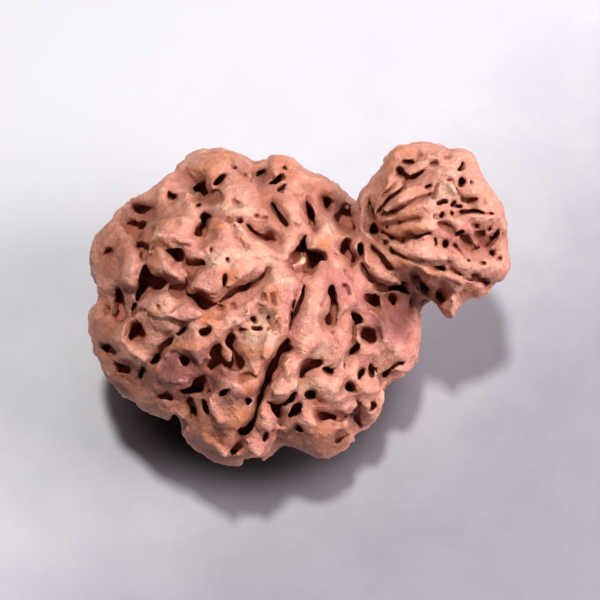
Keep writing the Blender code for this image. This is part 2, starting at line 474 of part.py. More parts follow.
class Bead:
    """One of the two beads: a flattened round body with its own outline on the sight grid."""

    def __init__(self, centre, axis, radius, half_height, middle, outline):
        self.centre = centre
        self.axis = axis
        self.radius = radius
        self.half_height = half_height
        self.middle = middle
        offsets = np.array(outline, float) - middle
        angles = np.arctan2(offsets[:, 1], offsets[:, 0])
        reaches = np.hypot(offsets[:, 0], offsets[:, 1])
        self.angles = np.linspace(-math.pi, math.pi, OUTLINE_STEPS, endpoint=False)
        sharp = np.interp(self.angles, angles, reaches, period=2 * math.pi)
        turns = np.fft.rfftfreq(OUTLINE_STEPS, 1 / OUTLINE_STEPS)
        soften = np.exp(-((turns * OUTLINE_SOFTNESS) ** 2) / 2)
        self.reaches = np.fft.irfft(np.fft.rfft(sharp) * soften, OUTLINE_STEPS)
        spread = radius**2 * np.eye(3) - (radius**2 - half_height**2) * np.outer(axis, axis)
        seen = np.array((RIGHT, -UP))
        self.plain = np.linalg.inv(seen @ spread @ seen.T)

    def distance(self, points):
        """Distance to the bead, with the lobes of its outline standing out at the rim."""
        offset = points - self.centre
        along = offset @ self.axis
        across = offset - along[..., None] * self.axis
        across_squared = (across**2).sum(-1)
        level = np.sqrt(across_squared / self.radius**2 + along**2 / self.half_height**2)
        slope = np.sqrt(across_squared / self.radius**4 + along**2 / self.half_height**4)
        slope = np.maximum(slope, 1e-6)
        outward = across / self.radius**2 + (along / self.half_height**2)[..., None] * self.axis
        x, y = to_sight_grid(points)
        angle = np.arctan2(y - self.middle[1], x - self.middle[0])
        wanted = np.interp(angle, self.angles, self.reaches, period=2 * math.pi) * STEP_SIZE
        toward = np.stack((np.cos(angle), np.sin(angle)), -1)
        plain = 1 / np.sqrt(((toward @ self.plain) * toward).sum(-1))
        facing = (unit(EYE - points) * outward).sum(-1) / slope
        return level * (level - 1) / slope - (wanted - plain) * np.exp(-((facing / RIM_REACH) ** 2))


LARGE = Bead(
    np.zeros(3),
    pole_axis(LARGE_POLE, LARGE_MIDDLE, LARGE_HALF_HEIGHT),
    LARGE_RADIUS,
    LARGE_HALF_HEIGHT,
    LARGE_MIDDLE,
    LARGE_OUTLINE,
)
SMALL = Bead(
    on_sight_plane(*SMALL_MIDDLE) + SMALL_NEARNESS * NEAR,
    pole_axis(SMALL_POLE, SMALL_MIDDLE, SMALL_HALF_HEIGHT),
    SMALL_RADIUS,
    SMALL_HALF_HEIGHT,
    SMALL_MIDDLE,
    SMALL_OUTLINE,
)


def plain_form(points):
    """Signed distance to both beads, flowed together: negative inside."""
    return smooth_min(LARGE.distance(points), SMALL.distance(points), JOIN_BLEND)


def outward_of(points):
    """The direction out of the plain form."""
    reach = 0.05
    slope = [
        plain_form(points + reach * axis) - plain_form(points - reach * axis)
        for axis in np.eye(3)
    ]
    return unit(np.stack(slope, -1))


def cast(starts, directions):
    """Where lines first meet the plain form. A line that passes by takes its nearest point."""
    travel = np.zeros(len(starts))
    nearest = np.full(len(starts), np.inf)
    stop = np.zeros(len(starts))
    for _ in range(90):
        gap = plain_form(starts + travel[:, None] * directions)
        closer = gap < nearest
        nearest = np.where(closer, gap, nearest)
        stop = np.where(closer, travel, stop)
        travel = travel + np.maximum(gap, 0.002) * 0.8
    met = starts + stop[:, None] * directions
    for _ in range(3):
        met = met - plain_form(met)[:, None] * outward_of(met)
    return met


def seen_at(x, y):
    """Points of the plain form under these steps of the sight grid."""
    target = on_sight_plane(x, y)
    directions = unit(target - EYE)
    return cast(target - 40 * directions, directions)


def block_round(low_corner, high_corner):
    """The part of the grid between two corners."""
    low = np.maximum(np.floor((low_corner - DOMAIN_LOW) / GRID_STEP).astype(int), 0)
    high = np.ceil((high_corner - DOMAIN_LOW) / GRID_STEP).astype(int) + 1
    return tuple(slice(start, stop) for start, stop in zip(low, np.minimum(high, grid_shape)))


def places(block):
    """The grid's places in a block, in millimetres."""
    axes = [grid_lines[axis][block[axis]] for axis in range(3)]
    return np.stack(np.meshgrid(*axes, indexing="ij"), -1)


def sampled(field, points):
    """Values of the field at places given in millimetres."""
    place = np.clip((points - DOMAIN_LOW) / GRID_STEP, 0, np.array(grid_shape) - 1.001)
    low = place.astype(int)
    part = place - low
    total = np.zeros(len(points))
    for corner in np.ndindex(2, 2, 2):
        weight = np.prod(np.where(corner, part, 1 - part), axis=1)
        total += weight * field[tuple((low + corner).T)]
    return total


class Mark:
    """A carved or raised stroke: its points, the way it opens, half widths, depth and edge blend."""

    def __init__(self, points, opening, half_widths, depth, blend):
        self.points = points
        self.opening = opening
        self.half_widths = half_widths
        self.depth = depth
        self.blend = blend


def met_by_sight(field, x, y):
    """Where the lines of sight through these steps first meet the surface carved so far, and how
    deep below it they pass."""
    start = seen_at(x, y)
    inward = unit(start - EYE)
    travel = np.arange(-2.5, 6.0, 0.05)
    tried = start[:, None] + travel[:, None] * inward[:, None]
    gaps = sampled(field, tried.reshape(-1, 3)).reshape(len(start), -1)
    inside = gaps < 0
    first = np.where(inside.any(1), inside.argmax(1), gaps.argmin(1))
    return start + travel[first][:, None] * inward, -gaps.min(1)


def smoothed_outline(corners):
    """A closed outline with its corners rounded off."""
    for _ in range(2):
        ahead = np.roll(corners, -1, 0)
        near = 0.75 * corners + 0.25 * ahead
        far = 0.25 * corners + 0.75 * ahead
        corners = np.stack((near, far), 1).reshape(-1, 2)
    return corners


def wall_height(x, y, outline, steep, gentle):
    """Height of the walls that rise from a closed outline: negative inside, where they go down.
    The walls are steep on the upper left and gentle on the lower right."""
    nearest = np.full(x.shape, np.inf, np.float32)
    inside = np.zeros(x.shape, bool)
    ahead = np.roll(outline, -1, 0)
    turn = np.sign((outline[:, 0] * ahead[:, 1] - ahead[:, 0] * outline[:, 1]).sum())
    for (x0, y0), (x1, y1) in zip(outline, ahead):
        share = ((x - x0) * (x1 - x0) + (y - y0) * (y1 - y0)) / ((x1 - x0) ** 2 + (y1 - y0) ** 2)
        share = np.clip(share, 0, 1)
        gap = (x - x0 - share * (x1 - x0)) ** 2 + (y - y0 - share * (y1 - y0)) ** 2
        outward = turn * np.array((y1 - y0, x0 - x1)) / math.hypot(x1 - x0, y1 - y0)
        slope = steep + (gentle - steep) * np.clip(outward @ GENTLE_SIDE, 0, 1)
        nearest = np.minimum(nearest, gap * slope**2)
        crosses = (y0 > y) != (y1 > y)
        if y0 != y1:
            inside ^= crosses & (x < (x1 - x0) * (y - y0) / (y1 - y0) + x0)
    return np.where(inside, -1, 1) * np.sqrt(nearest) * STEP_SIZE


class Outline:
    """A closed outline on the seen side, with the part of the grid round it and its wall heights."""

    def __init__(self, depth, corners, placed, deepest, warp, steep, gentle):
        room = max(depth, 1.0) + 0.8
        self.block = block_round(placed.min(0) - room, placed.max(0) + room)
        self.depth = min(depth, max(0.2, DEPTH_SHARE * np.median(deepest)))
        x, y = to_sight_grid(places(self.block) + np.stack([part[self.block] for part in warp], -1))
        self.edge = wall_height(x, y, smoothed_outline(corners), steep, gentle)


def outlines(field, warp, table, steep, gentle):
    """The outlines of a table of depth and corner points of x, y."""
    rows = [(row[0], np.array(row[1:], float)) for row in table]
    placed, deepest = met_by_sight(field, *np.concatenate([corners for _, corners in rows]).T)
    made = []
    start = 0
    for depth, corners in rows:
        own = slice(start, start + len(corners))
        made.append(Outline(depth, corners, placed[own], deepest[own], warp, steep, gentle))
        start += len(corners)
    return made


def raise_plates(field, warp):
    """Raises the flat flakes of shell from the surface."""
    skin = field.copy()
    for plate in outlines(skin, warp, PLATES, PLATE_WALL, PLATE_WALL):
        top = smooth_max(plate.edge, skin[plate.block] - plate.depth, PLATE_BLEND)
        field[plate.block] = smooth_min(field[plate.block], top, PLATE_FOOT_BLEND)


def cut_openings(field, warp):
    """Cuts the openings down through the skin along the line of sight, each in a soft funnel."""
    openings = outlines(field, warp, OPENINGS, STEEP_WALL, GENTLE_WALL)
    dips = np.zeros_like(field)
    for opening in openings:
        opening.width = np.clip(-opening.edge.min() / WIDE_OPENING, 0.25, 1)
        dip = FUNNEL_DEPTH * opening.width * min(1, opening.depth / MIDDLE)
        dip = dip * np.exp(-((np.maximum(opening.edge, 0) / FUNNEL_REACH) ** 2))
        dips[opening.block] = np.maximum(dips[opening.block], dip)
    field += dips
    skin = field.copy()
    for opening in openings:
        walls = -opening.edge * np.clip(opening.depth / DEEP, 0.4, 1)
        hole = smooth_min(walls, skin[opening.block] + opening.depth, 0.35 * opening.depth)
        field[opening.block] = smooth_max(field[opening.block], hole, 0.06 + 0.2 * opening.width)


def strokes(field, table, blend, extra=0.0, deeper=1.0):
    """Marks from a table of depth and points of x, y, width, which open towards the eye."""
    rows = [(row[0], np.array(row[1:], float)) for row in table]
    placed, _ = met_by_sight(field, *np.concatenate([points for _, points in rows])[:, :2].T)
    marks = []
    start = 0
    for depth, points in rows:
        half_widths = (points[:, 2] + extra) * STEP_SIZE / 2
        own = placed[start : start + len(points)]
        marks.append(Mark(own, unit(EYE - own), half_widths, depth * deeper, blend))
        start += len(points)
    return marks


def as_stroke(depth, x, y, width, height):
    """A pit as a short stroke along its longer side."""
    narrow = min(width, height)
    run = (max(width, height) - narrow) / 2 + 0.5
    along = (run, 0) if width > height else (0, run)
    return depth, (x - along[0], y - along[1], narrow), (x + along[0], y + along[1], narrow)


def meridian_groove(bead, sideways, start, rng):
    """A groove down this side of a bead, from this angle above its waist to the far pole."""
    turn = np.cross(bead.axis, sideways)
    angles = np.linspace(start, GROOVE_END, 9)
    sway = np.cumsum(rng.normal(0, GROOVE_SWAY, len(angles)))
    ring = np.cos(sway)[:, None] * sideways + np.sin(sway)[:, None] * turn
    directions = np.cos(angles)[:, None] * ring + np.sin(angles)[:, None] * bead.axis
    points = cast(bead.centre + 20 * directions, -directions)
    widths = FAR_GROOVE_WIDTH * rng.uniform(0.7, 1.2, len(points)) / 2
    return Mark(points, outward_of(points), widths, FAR_GROOVE_DEPTH, 0.45)


def far_marks():
    """Grooves and pits of the side turned away from the eye."""
    rng = np.random.default_rng(FAR_SEED)
    marks = []
    ends = np.array([row[-1][:2] for row in VALLEYS[1:10]], float)
    for offset in unit(seen_at(*ends.T) - LARGE.centre):
        height = offset @ LARGE.axis
        sideways = unit(offset - height * LARGE.axis)
        marks.append(meridian_groove(LARGE, sideways, math.asin(height) - LARGE_GROOVE_GAP, rng))
    behind = unit((NEAR @ SMALL.axis) * SMALL.axis - NEAR)
    across = np.cross(SMALL.axis, behind)
    for turn in SMALL_GROOVE_TURNS:
        sideways = math.cos(turn) * behind + math.sin(turn) * across
        marks.append(meridian_groove(SMALL, sideways, SMALL_GROOVE_START, rng))
    number = np.arange(FAR_PITS)
    height = 1 - 2 * (number + 0.5) / FAR_PITS
    turn = number * math.pi * (3 - math.sqrt(5))
    flat = np.sqrt(1 - height**2)
    directions = np.stack((flat * np.cos(turn), flat * np.sin(turn), height), -1)
    directions = unit(directions + rng.normal(0, PIT_SCATTER, directions.shape))
    for bead, share in ((LARGE, 1), (SMALL, 4)):
        chosen = directions[::share]
        points = cast(bead.centre + 20 * chosen, -chosen)
        outward = outward_of(points)
        hidden = (unit(EYE - points) * outward).sum(-1) < FAR_PIT_FACING
        own = np.linalg.norm(points - bead.centre, axis=-1) < bead.radius * 1.12
        for point, normal in zip(points[hidden & own], outward[hidden & own]):
            half_width = rng.uniform(*PIT_HALF_WIDTHS)
            heading = unit(np.cross(normal, rng.normal(size=3)))
            run = rng.choice(PIT_RUNS) * heading
            depth = rng.uniform(*PIT_DEPTHS)
            pair = np.array((point - run, point + run))
            pair = pair - plain_form(pair)[:, None] * outward_of(pair)
            marks.append(Mark(pair, outward_of(pair), np.full(2, half_width), depth, 0.3))
    return marks


def turned_away(points):
    """How far a place is turned from the eye: 0 on the seen side, 1 on the far side."""
    large = points - LARGE.centre
    small = points - SMALL.centre
    nearer = (large**2).sum(-1) / LARGE.radius**2 < (small**2).sum(-1) / SMALL.radius**2
    facing = (unit(EYE - points) * unit(np.where(nearer[..., None], large, small))).sum(-1)
    share = np.clip((0.05 - facing) / 0.3, 0, 1)
    return share * share * (3 - 2 * share)


def smooth_noise(size, seed):
    """Seeded lumps of about this size in millimetres, by cubic B-splines on a coarse lattice."""
    cells = np.ceil((DOMAIN_HIGH - DOMAIN_LOW) / size).astype(int) + 4
    values = np.random.default_rng(seed).normal(0, 2.8, cells).astype(np.float32)
    for axis, count in enumerate(grid_shape):
        place = np.arange(count) * GRID_STEP / size
        low = place.astype(int)
        part = place - low
        weights = (
            (1 - part) ** 3 / 6,
            (3 * part**3 - 6 * part**2 + 4) / 6,
            (-3 * part**3 + 3 * part**2 + 3 * part + 1) / 6,
            part**3 / 6,
        )
        along = [-1 if other == axis else 1 for other in range(3)]
        values = sum(
            np.take(values, low + tap, axis) * weight.astype(np.float32).reshape(along)
            for tap, weight in enumerate(weights)
        )
    return values


def stretch_distance(points, mark, first):
    """Distance to one stretch of a stroke, whose cross-section is an ellipse."""
    start = mark.points[first]
    run = mark.points[first + 1] - start
    share = np.clip(((points - start) @ run) / (run @ run), 0, 1)[..., None]
    opening = unit(mark.opening[first] + share * (mark.opening[first + 1] - mark.opening[first]))
    growth = mark.half_widths[first + 1] - mark.half_widths[first]
    half_width = mark.half_widths[first] + share[..., 0] * growth
    offset = points - start - share * run
    height = (offset * opening).sum(-1)
    across_squared = np.maximum((offset**2).sum(-1) - height**2, 0)
    level = np.sqrt(across_squared / half_width**2 + height**2 / mark.depth**2)
    slope = np.sqrt(across_squared / half_width**4 + height**2 / mark.depth**4)
    return level * (level - 1) / np.maximum(slope, 1e-6)


def apply_mark(field, warp, mark, raised=False):
    """Carves a mark out of the field, or raises it, in the part of the grid round it."""
    reach = max(mark.half_widths.max(), mark.depth) + mark.blend + 0.4
    whole = block_round(mark.points.min(0) - reach, mark.points.max(0) + reach)
    gap = np.full(field[whole].shape, 9.0, np.float32)
    for first in range(len(mark.points) - 1):
        pair = mark.points[first : first + 2]
        block = block_round(pair.min(0) - reach, pair.max(0) + reach)
        points = places(block) + np.stack([part[block] for part in warp], -1)
        inner = tuple(slice(b.start - w.start, b.stop - w.start) for b, w in zip(block, whole))
        gap[inner] = np.minimum(gap[inner], stretch_distance(points, mark, first))
    if raised:
        field[whole] = smooth_min(field[whole], gap, mark.blend)
    else:
        field[whole] = smooth_max(field[whole], -gap, mark.blend)


def carved_field():
    """The whole bead as a signed distance on the grid."""
    field = np.empty(grid_shape, np.float32)
    far = np.zeros(grid_shape, np.float32)
    coarse = 4
    for layer in range(grid_shape[0]):
        rough = places((slice(layer, layer + 1), slice(None, None, coarse), slice(None, None, coarse)))
        rough = plain_form(rough)[0].astype(np.float32)
        rough = rough.repeat(coarse, 0).repeat(coarse, 1)[: grid_shape[1], : grid_shape[2]]
        close = np.abs(rough) < NEAR_SURFACE
        points = places((slice(layer, layer + 1), slice(None), slice(None)))[0][close]
        rough[close] = plain_form(points)
        field[layer] = rough
        far[layer][close] = turned_away(points)
    height, size, seed = LUMPS
    field += height * smooth_noise(size, seed)
    height, size, seed = RIDGES
    field -= height * (np.abs(smooth_noise(size, seed)) - RIDGE_LEVEL)
    winding = smooth_noise(FURROW_SIZE, 31)
    field += FURROW_DEPTH * far * np.exp(-((winding / FURROW_SPREAD) ** 2))
    warp = [WARP_REACH * smooth_noise(WARP_SIZE, seed) for seed in (21, 22, 23)]
    pits = [as_stroke(*pit) for pit in PITS if max(pit[3:]) >= SMALLEST_PIT]
    broad = strokes(field, HOLLOWS, HOLLOW_BLEND) + strokes(field, VALLEYS, VALLEY_BLEND)
    for mark in broad + far_marks():
        apply_mark(field, warp, mark)
    raise_plates(field, warp)
    for mark in strokes(field, FOLDS, FOLD_BLEND):
        apply_mark(field, warp, mark, raised=True)
    for mark in strokes(field, pits, PIT_DIP_BLEND, PIT_DIP_WIDTH, PIT_DIP_SHARE):
        apply_mark(field, warp, mark)
    stub = strokes(field, STUB, STUB_BLEND)
    cut_openings(field, warp)
    for mark in strokes(field, pits, PIT_BLEND) + strokes(field, SLITS, SLIT_BLEND):
        apply_mark(field, warp, mark)
    for mark in stub:
        apply_mark(field, warp, mark, raised=True)
    floor = (-REST_HEIGHT - grid_lines[2]).astype(np.float32)
    return smooth_max(field, np.broadcast_to(floor, grid_shape), FLOOR_BLEND)


def largest_piece(faces):
    """The faces of the largest shell. It leaves out loose scraps and sealed bubbles."""
    sides = faces.shape[1]
    ends = np.stack((faces, np.roll(faces, -1, 1)), -1).reshape(-1, 2)
    edges, edge_of = np.unique(np.sort(ends, 1), axis=0, return_inverse=True)
    edge_of = edge_of.reshape(-1, sides)
    label = np.arange(len(faces))
    while True:
        low = np.full(len(edges), len(faces))
        np.minimum.at(low, edge_of.ravel(), label.repeat(sides))
        lower = low[edge_of].min(1)
        lower = lower[lower]
        if (lower == label).all():
            break
        label = lower
    names, sizes = np.unique(label, return_counts=True)
    return faces[label == names[sizes.argmax()]]


def rounded(field):
    """The field with each value shared with its neighbours, which rounds the edges off."""
    for axis in range(3):
        field = (np.roll(field, 1, axis) + 2 * field + np.roll(field, -1, axis)) / 4
    return field


def without_pinches(field):
    """The field with its diagonal contacts filled, so that no two walls touch along an edge."""
    field = field.copy()
    low = slice(None, -1)
    high = slice(1, None)
    for _ in range(PINCH_ROUNDS):
        inside = field < 0
        pinched = np.zeros(grid_shape, bool)
        for along in range(3):
            corners = []
            for first, second in ((low, low), (low, high), (high, high), (high, low)):
                corner = [first, second]
                corner.insert(along, slice(None))
                corners.append(tuple(corner))
            signs = [inside[corner] for corner in corners]
            crossed = (signs[0] == signs[2]) & (signs[1] == signs[3]) & (signs[0] != signs[1])
            for corner, sign in zip(corners, signs):
                pinched[corner] |= crossed & ~sign
        field[pinched] = -PINCH_FILL
    return field


def mesh_of(field):
    """The surface of the field as a mesh in metres."""
    grid = openvdb.FloatGrid()
    grid.copyFromArray(without_pinches(rounded(field)))
    points, quads = grid.convertToQuads(isovalue=0.0)
    quads = largest_piece(quads)
    used, index = np.unique(quads, return_inverse=True)
    points = points[used] * GRID_STEP + DOMAIN_LOW
    quads = index.reshape(-1, 4)
    corners = points[quads]
    volume = np.einsum("ij,ij->i", corners[:, 0], np.cross(corners[:, 1], corners[:, 2])).sum()
    if volume < 0:
        quads = quads[:, ::-1]
    mesh = bpy.data.meshes.new("double_bead")
    mesh.from_pydata(points * MM, [], quads.tolist())
    return mesh


def thinned(mesh):
    """The mesh with few enough triangles, most of them where the form turns."""
    bead = bpy.data.objects.new("double_bead", mesh)
    bpy.context.scene.collection.objects.link(bead)
    thin = bead.modifiers.new("fewer triangles", "DECIMATE")
    thin.ratio = MOST_TRIANGLES / (2 * len(mesh.polygons))
    graph = bpy.context.evaluated_depsgraph_get()
    result = bpy.data.meshes.new_from_object(bead.evaluated_get(graph))
    bead.modifiers.clear()
    bead.data = result
    return bead


def stand(bead):
    """Stands the bead on z = 0 with its box centred on the origin, and flattens the rest spot."""
    shape = bmesh.new()
    shape.from_mesh(bead.data)
    points = np.array([vertex.co for vertex in shape.verts])
    low = points.min(0)
    high = points.max(0)
    floor = -REST_HEIGHT * MM
    for vertex in shape.verts:
        if vertex.co.z < floor + REST_SNAP * MM:
            vertex.co.z = floor
        vertex.co.x -= (low[0] + high[0]) / 2
        vertex.co.y -= (low[1] + high[1]) / 2
        vertex.co.z -= floor
    shape.to_mesh(bead.data)
    shape.free()


def dried_shell():
    """The woody shell of the bead: matt red-brown."""
    material = bpy.data.materials.new("dried_shell")
    material.use_nodes = True
    shader = material.node_tree.nodes["Principled BSDF"]
    shader.inputs["Base Color"].default_value = (0.50, 0.23, 0.14, 1)
    shader.inputs["Roughness"].default_value = 0.55
    shader.inputs["Metallic"].default_value = 0.0
    return material


double_bead = thinned(mesh_of(carved_field()))
stand(double_bead)
double_bead.data.materials.append(dried_shell())
double_bead.data.shade_smooth()
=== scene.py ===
import math

import bpy
import numpy as np
import openvdb
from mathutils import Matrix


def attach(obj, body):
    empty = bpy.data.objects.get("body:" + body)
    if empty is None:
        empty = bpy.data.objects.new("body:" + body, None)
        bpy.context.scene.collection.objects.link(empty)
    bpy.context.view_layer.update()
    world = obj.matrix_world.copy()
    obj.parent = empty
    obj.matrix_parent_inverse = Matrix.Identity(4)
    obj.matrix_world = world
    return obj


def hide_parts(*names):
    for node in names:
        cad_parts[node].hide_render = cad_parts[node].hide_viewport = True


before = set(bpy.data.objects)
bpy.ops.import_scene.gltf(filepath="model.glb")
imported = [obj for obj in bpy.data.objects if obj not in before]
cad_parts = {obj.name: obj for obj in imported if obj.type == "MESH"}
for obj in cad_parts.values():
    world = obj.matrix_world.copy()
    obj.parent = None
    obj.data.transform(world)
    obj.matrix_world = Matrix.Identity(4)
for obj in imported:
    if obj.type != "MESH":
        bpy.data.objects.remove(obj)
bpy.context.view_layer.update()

# The bead, first its plain form
# The real piece is the dried woody stone of two fruits that grew together: a large flattened round
# bead with a small one on its upper side. They flow into each other, with lobes round the rim.
# It grew as one piece, so it is one closed mesh.

# Lengths are in millimetres from the large bead's middle. Places on the seen side are steps of a
# sight grid, x to the right and y down.
MM = 0.001
LARGE_RADIUS = 13.2
LARGE_HALF_HEIGHT = 10.6
SMALL_RADIUS = 6.2
SMALL_HALF_HEIGHT = 5.7
JOIN_BLEND = 0.9
REST_HEIGHT = 10.4
GRID_STEP = 0.12
DOMAIN_LOW = np.array((-15.0, -15.0, -12.5))
DOMAIN_HIGH = np.array((22.5, 16.0, 13.0))
OUTLINE_STEPS = 720
OUTLINE_SOFTNESS = math.radians(2.2)
RIM_REACH = 0.46
STEP_SIZE = 0.08
GRID_STEPS = 600
GRID_MIDDLE = (GRID_STEPS / 2, GRID_STEPS / 2)
SIGHT_HEIGHT = math.radians(60.0)
EYE_DISTANCE = 160.0
SLOPE_REACH = 0.05
CAST_TRIES = 90
CAST_SHARE = 0.8
LEAST_TRAVEL = 0.002
CAST_ROOM = 40
LARGE_MIDDLE = (256, 305)
LARGE_POLE = (305, 260)
SMALL_MIDDLE = (433, 224)
SMALL_POLE = (377, 229)
SMALL_NEARNESS = 1.5
RIGHT = np.array((1.0, 0.0, 0.0))
UP = np.array((0.0, math.sin(SIGHT_HEIGHT), math.cos(SIGHT_HEIGHT)))
NEAR = np.array((0.0, -math.cos(SIGHT_HEIGHT), math.sin(SIGHT_HEIGHT)))
LARGE_OUTLINE = (
    (353, 199), (343, 191), (324, 177), (310, 171), (299, 161), (283, 154), (268, 156), (257, 165),
    (249, 161), (242, 151), (226, 147), (210, 149), (195, 152), (183, 162), (170, 178), (160, 185),
    (140, 192), (124, 205), (110, 222), (97, 240), (93, 260), (97, 280), (99, 300), (92, 322),
    (95, 341), (107, 370), (125, 392), (150, 408), (165, 412), (183, 413), (186, 428), (200, 451),
    (220, 461), (245, 462), (267, 455), (281, 441), (293, 442), (318, 457), (345, 449), (358, 440),
    (361, 430), (376, 423), (386, 398), (384, 384), (395, 377), (410, 374), (418, 355), (418, 330),
    (420, 310), (424, 300), (424, 280), (415, 250), (392, 222), (370, 205),
)
SMALL_OUTLINE = (
    (353, 205), (358, 193), (368, 183), (379, 171), (383, 160), (396, 149), (420, 146), (440, 145),
    (450, 151), (461, 150), (471, 157), (475, 170), (482, 188), (496, 202), (502, 217), (503, 245),
    (509, 260), (508, 275), (494, 288), (483, 298), (465, 297), (460, 303), (456, 312), (450, 317),
    (443, 313), (434, 306), (420, 299), (390, 290), (366, 270), (354, 240),
)


def unit(vectors):
    return vectors / np.maximum(np.linalg.norm(vectors, axis=-1, keepdims=True), 1e-9)


def smooth_min(first, second, blend):
    share = np.clip(0.5 + 0.5 * (second - first) / blend, 0, 1)
    return second + (first - second) * share - blend * share * (1 - share)


def smooth_max(first, second, blend):
    return -smooth_min(-first, -second, blend)


def on_sight_plane(x, y):
    """The place of a step of the sight grid, on the plane through the large bead's middle."""
    right = (np.asarray(x, float) - LARGE_MIDDLE[0]) * STEP_SIZE
    up = (LARGE_MIDDLE[1] - np.asarray(y, float)) * STEP_SIZE
    return right[..., None] * RIGHT + up[..., None] * UP


EYE = on_sight_plane(*GRID_MIDDLE) + EYE_DISTANCE * NEAR


def to_sight_grid(points):
    """The steps of the sight grid at which the eye sees these points."""
    ray = points - EYE
    reach = EYE_DISTANCE / -(ray @ NEAR)
    seen = EYE + ray * reach[..., None]
    return LARGE_MIDDLE[0] + (seen @ RIGHT) / STEP_SIZE, LARGE_MIDDLE[1] - (seen @ UP) / STEP_SIZE


def pole_axis(pole, middle, reach):
    """The axis of a bead whose pole is seen at this step, at this reach from its middle."""
    right = (pole[0] - middle[0]) * STEP_SIZE
    up = (middle[1] - pole[1]) * STEP_SIZE
    near = math.sqrt(reach**2 - right**2 - up**2)
    return (right * RIGHT + up * UP + near * NEAR) / reach


class Bead:
    """One of the two beads: a flattened round body with its own outline on the sight grid."""

    def __init__(self, centre, axis, radius, half_height, middle, outline):
        self.centre = centre
        self.axis = axis
        self.radius = radius
        self.half_height = half_height
        self.middle = middle
        offsets = np.array(outline, float) - middle
        angles = np.arctan2(offsets[:, 1], offsets[:, 0])
        reaches = np.hypot(offsets[:, 0], offsets[:, 1])
        self.angles = np.linspace(-math.pi, math.pi, OUTLINE_STEPS, endpoint=False)
        sharp = np.interp(self.angles, angles, reaches, period=2 * math.pi)
        turns = np.fft.rfftfreq(OUTLINE_STEPS, 1 / OUTLINE_STEPS)
        soften = np.exp(-((turns * OUTLINE_SOFTNESS) ** 2) / 2)
        self.reaches = np.fft.irfft(np.fft.rfft(sharp) * soften, OUTLINE_STEPS)
        spread = radius**2 * np.eye(3) - (radius**2 - half_height**2) * np.outer(axis, axis)
        seen = np.array((RIGHT, -UP))
        self.plain = np.linalg.inv(seen @ spread @ seen.T)

    def distance(self, points):
        """Distance to the bead, with the lobes of its outline standing out at the rim."""
        offset = points - self.centre
        along = offset @ self.axis
        across = offset - along[..., None] * self.axis
        across_squared = (across**2).sum(-1)
        level = np.sqrt(across_squared / self.radius**2 + along**2 / self.half_height**2)
        slope = np.sqrt(across_squared / self.radius**4 + along**2 / self.half_height**4)
        slope = np.maximum(slope, 1e-6)
        outward = across / self.radius**2 + (along / self.half_height**2)[..., None] * self.axis
        x, y = to_sight_grid(points)
        angle = np.arctan2(y - self.middle[1], x - self.middle[0])
        wanted = np.interp(angle, self.angles, self.reaches, period=2 * math.pi) * STEP_SIZE
        toward = np.stack((np.cos(angle), np.sin(angle)), -1)
        plain = 1 / np.sqrt(((toward @ self.plain) * toward).sum(-1))
        facing = (unit(EYE - points) * outward).sum(-1) / slope
        return level * (level - 1) / slope - (wanted - plain) * np.exp(-((facing / RIM_REACH) ** 2))


LARGE = Bead(
    np.zeros(3),
    pole_axis(LARGE_POLE, LARGE_MIDDLE, LARGE_HALF_HEIGHT),
    LARGE_RADIUS,
    LARGE_HALF_HEIGHT,
    LARGE_MIDDLE,
    LARGE_OUTLINE,
)
SMALL = Bead(
    on_sight_plane(*SMALL_MIDDLE) + SMALL_NEARNESS * NEAR,
    pole_axis(SMALL_POLE, SMALL_MIDDLE, SMALL_HALF_HEIGHT),
    SMALL_RADIUS,
    SMALL_HALF_HEIGHT,
    SMALL_MIDDLE,
    SMALL_OUTLINE,
)


def plain_form(points):
    """Signed distance to both beads, flowed together: negative inside."""
    return smooth_min(LARGE.distance(points), SMALL.distance(points), JOIN_BLEND)


def outward_of(points):
    """The direction out of the plain form."""
    reaches = SLOPE_REACH * np.eye(3)
    slope = [plain_form(points + reach) - plain_form(points - reach) for reach in reaches]
    return unit(np.stack(slope, -1))


def cast(starts, directions):
    """Where lines first meet the plain form. A line that passes by takes its nearest point."""
    travel = np.zeros(len(starts))
    nearest = np.full(len(starts), np.inf)
    stop = np.zeros(len(starts))
    for _ in range(CAST_TRIES):
        gap = plain_form(starts + travel[:, None] * directions)
        closer = gap < nearest
        nearest = np.where(closer, gap, nearest)
        stop = np.where(closer, travel, stop)
        travel = travel + np.maximum(gap, LEAST_TRAVEL) * CAST_SHARE
    met = starts + stop[:, None] * directions
    for _ in range(3):
        met = met - plain_form(met)[:, None] * outward_of(met)
    return met


def seen_at(x, y):
    """Points of the plain form under these steps of the sight grid."""
    target = on_sight_plane(x, y)
    directions = unit(target - EYE)
    return cast(target - CAST_ROOM * directions, directions)


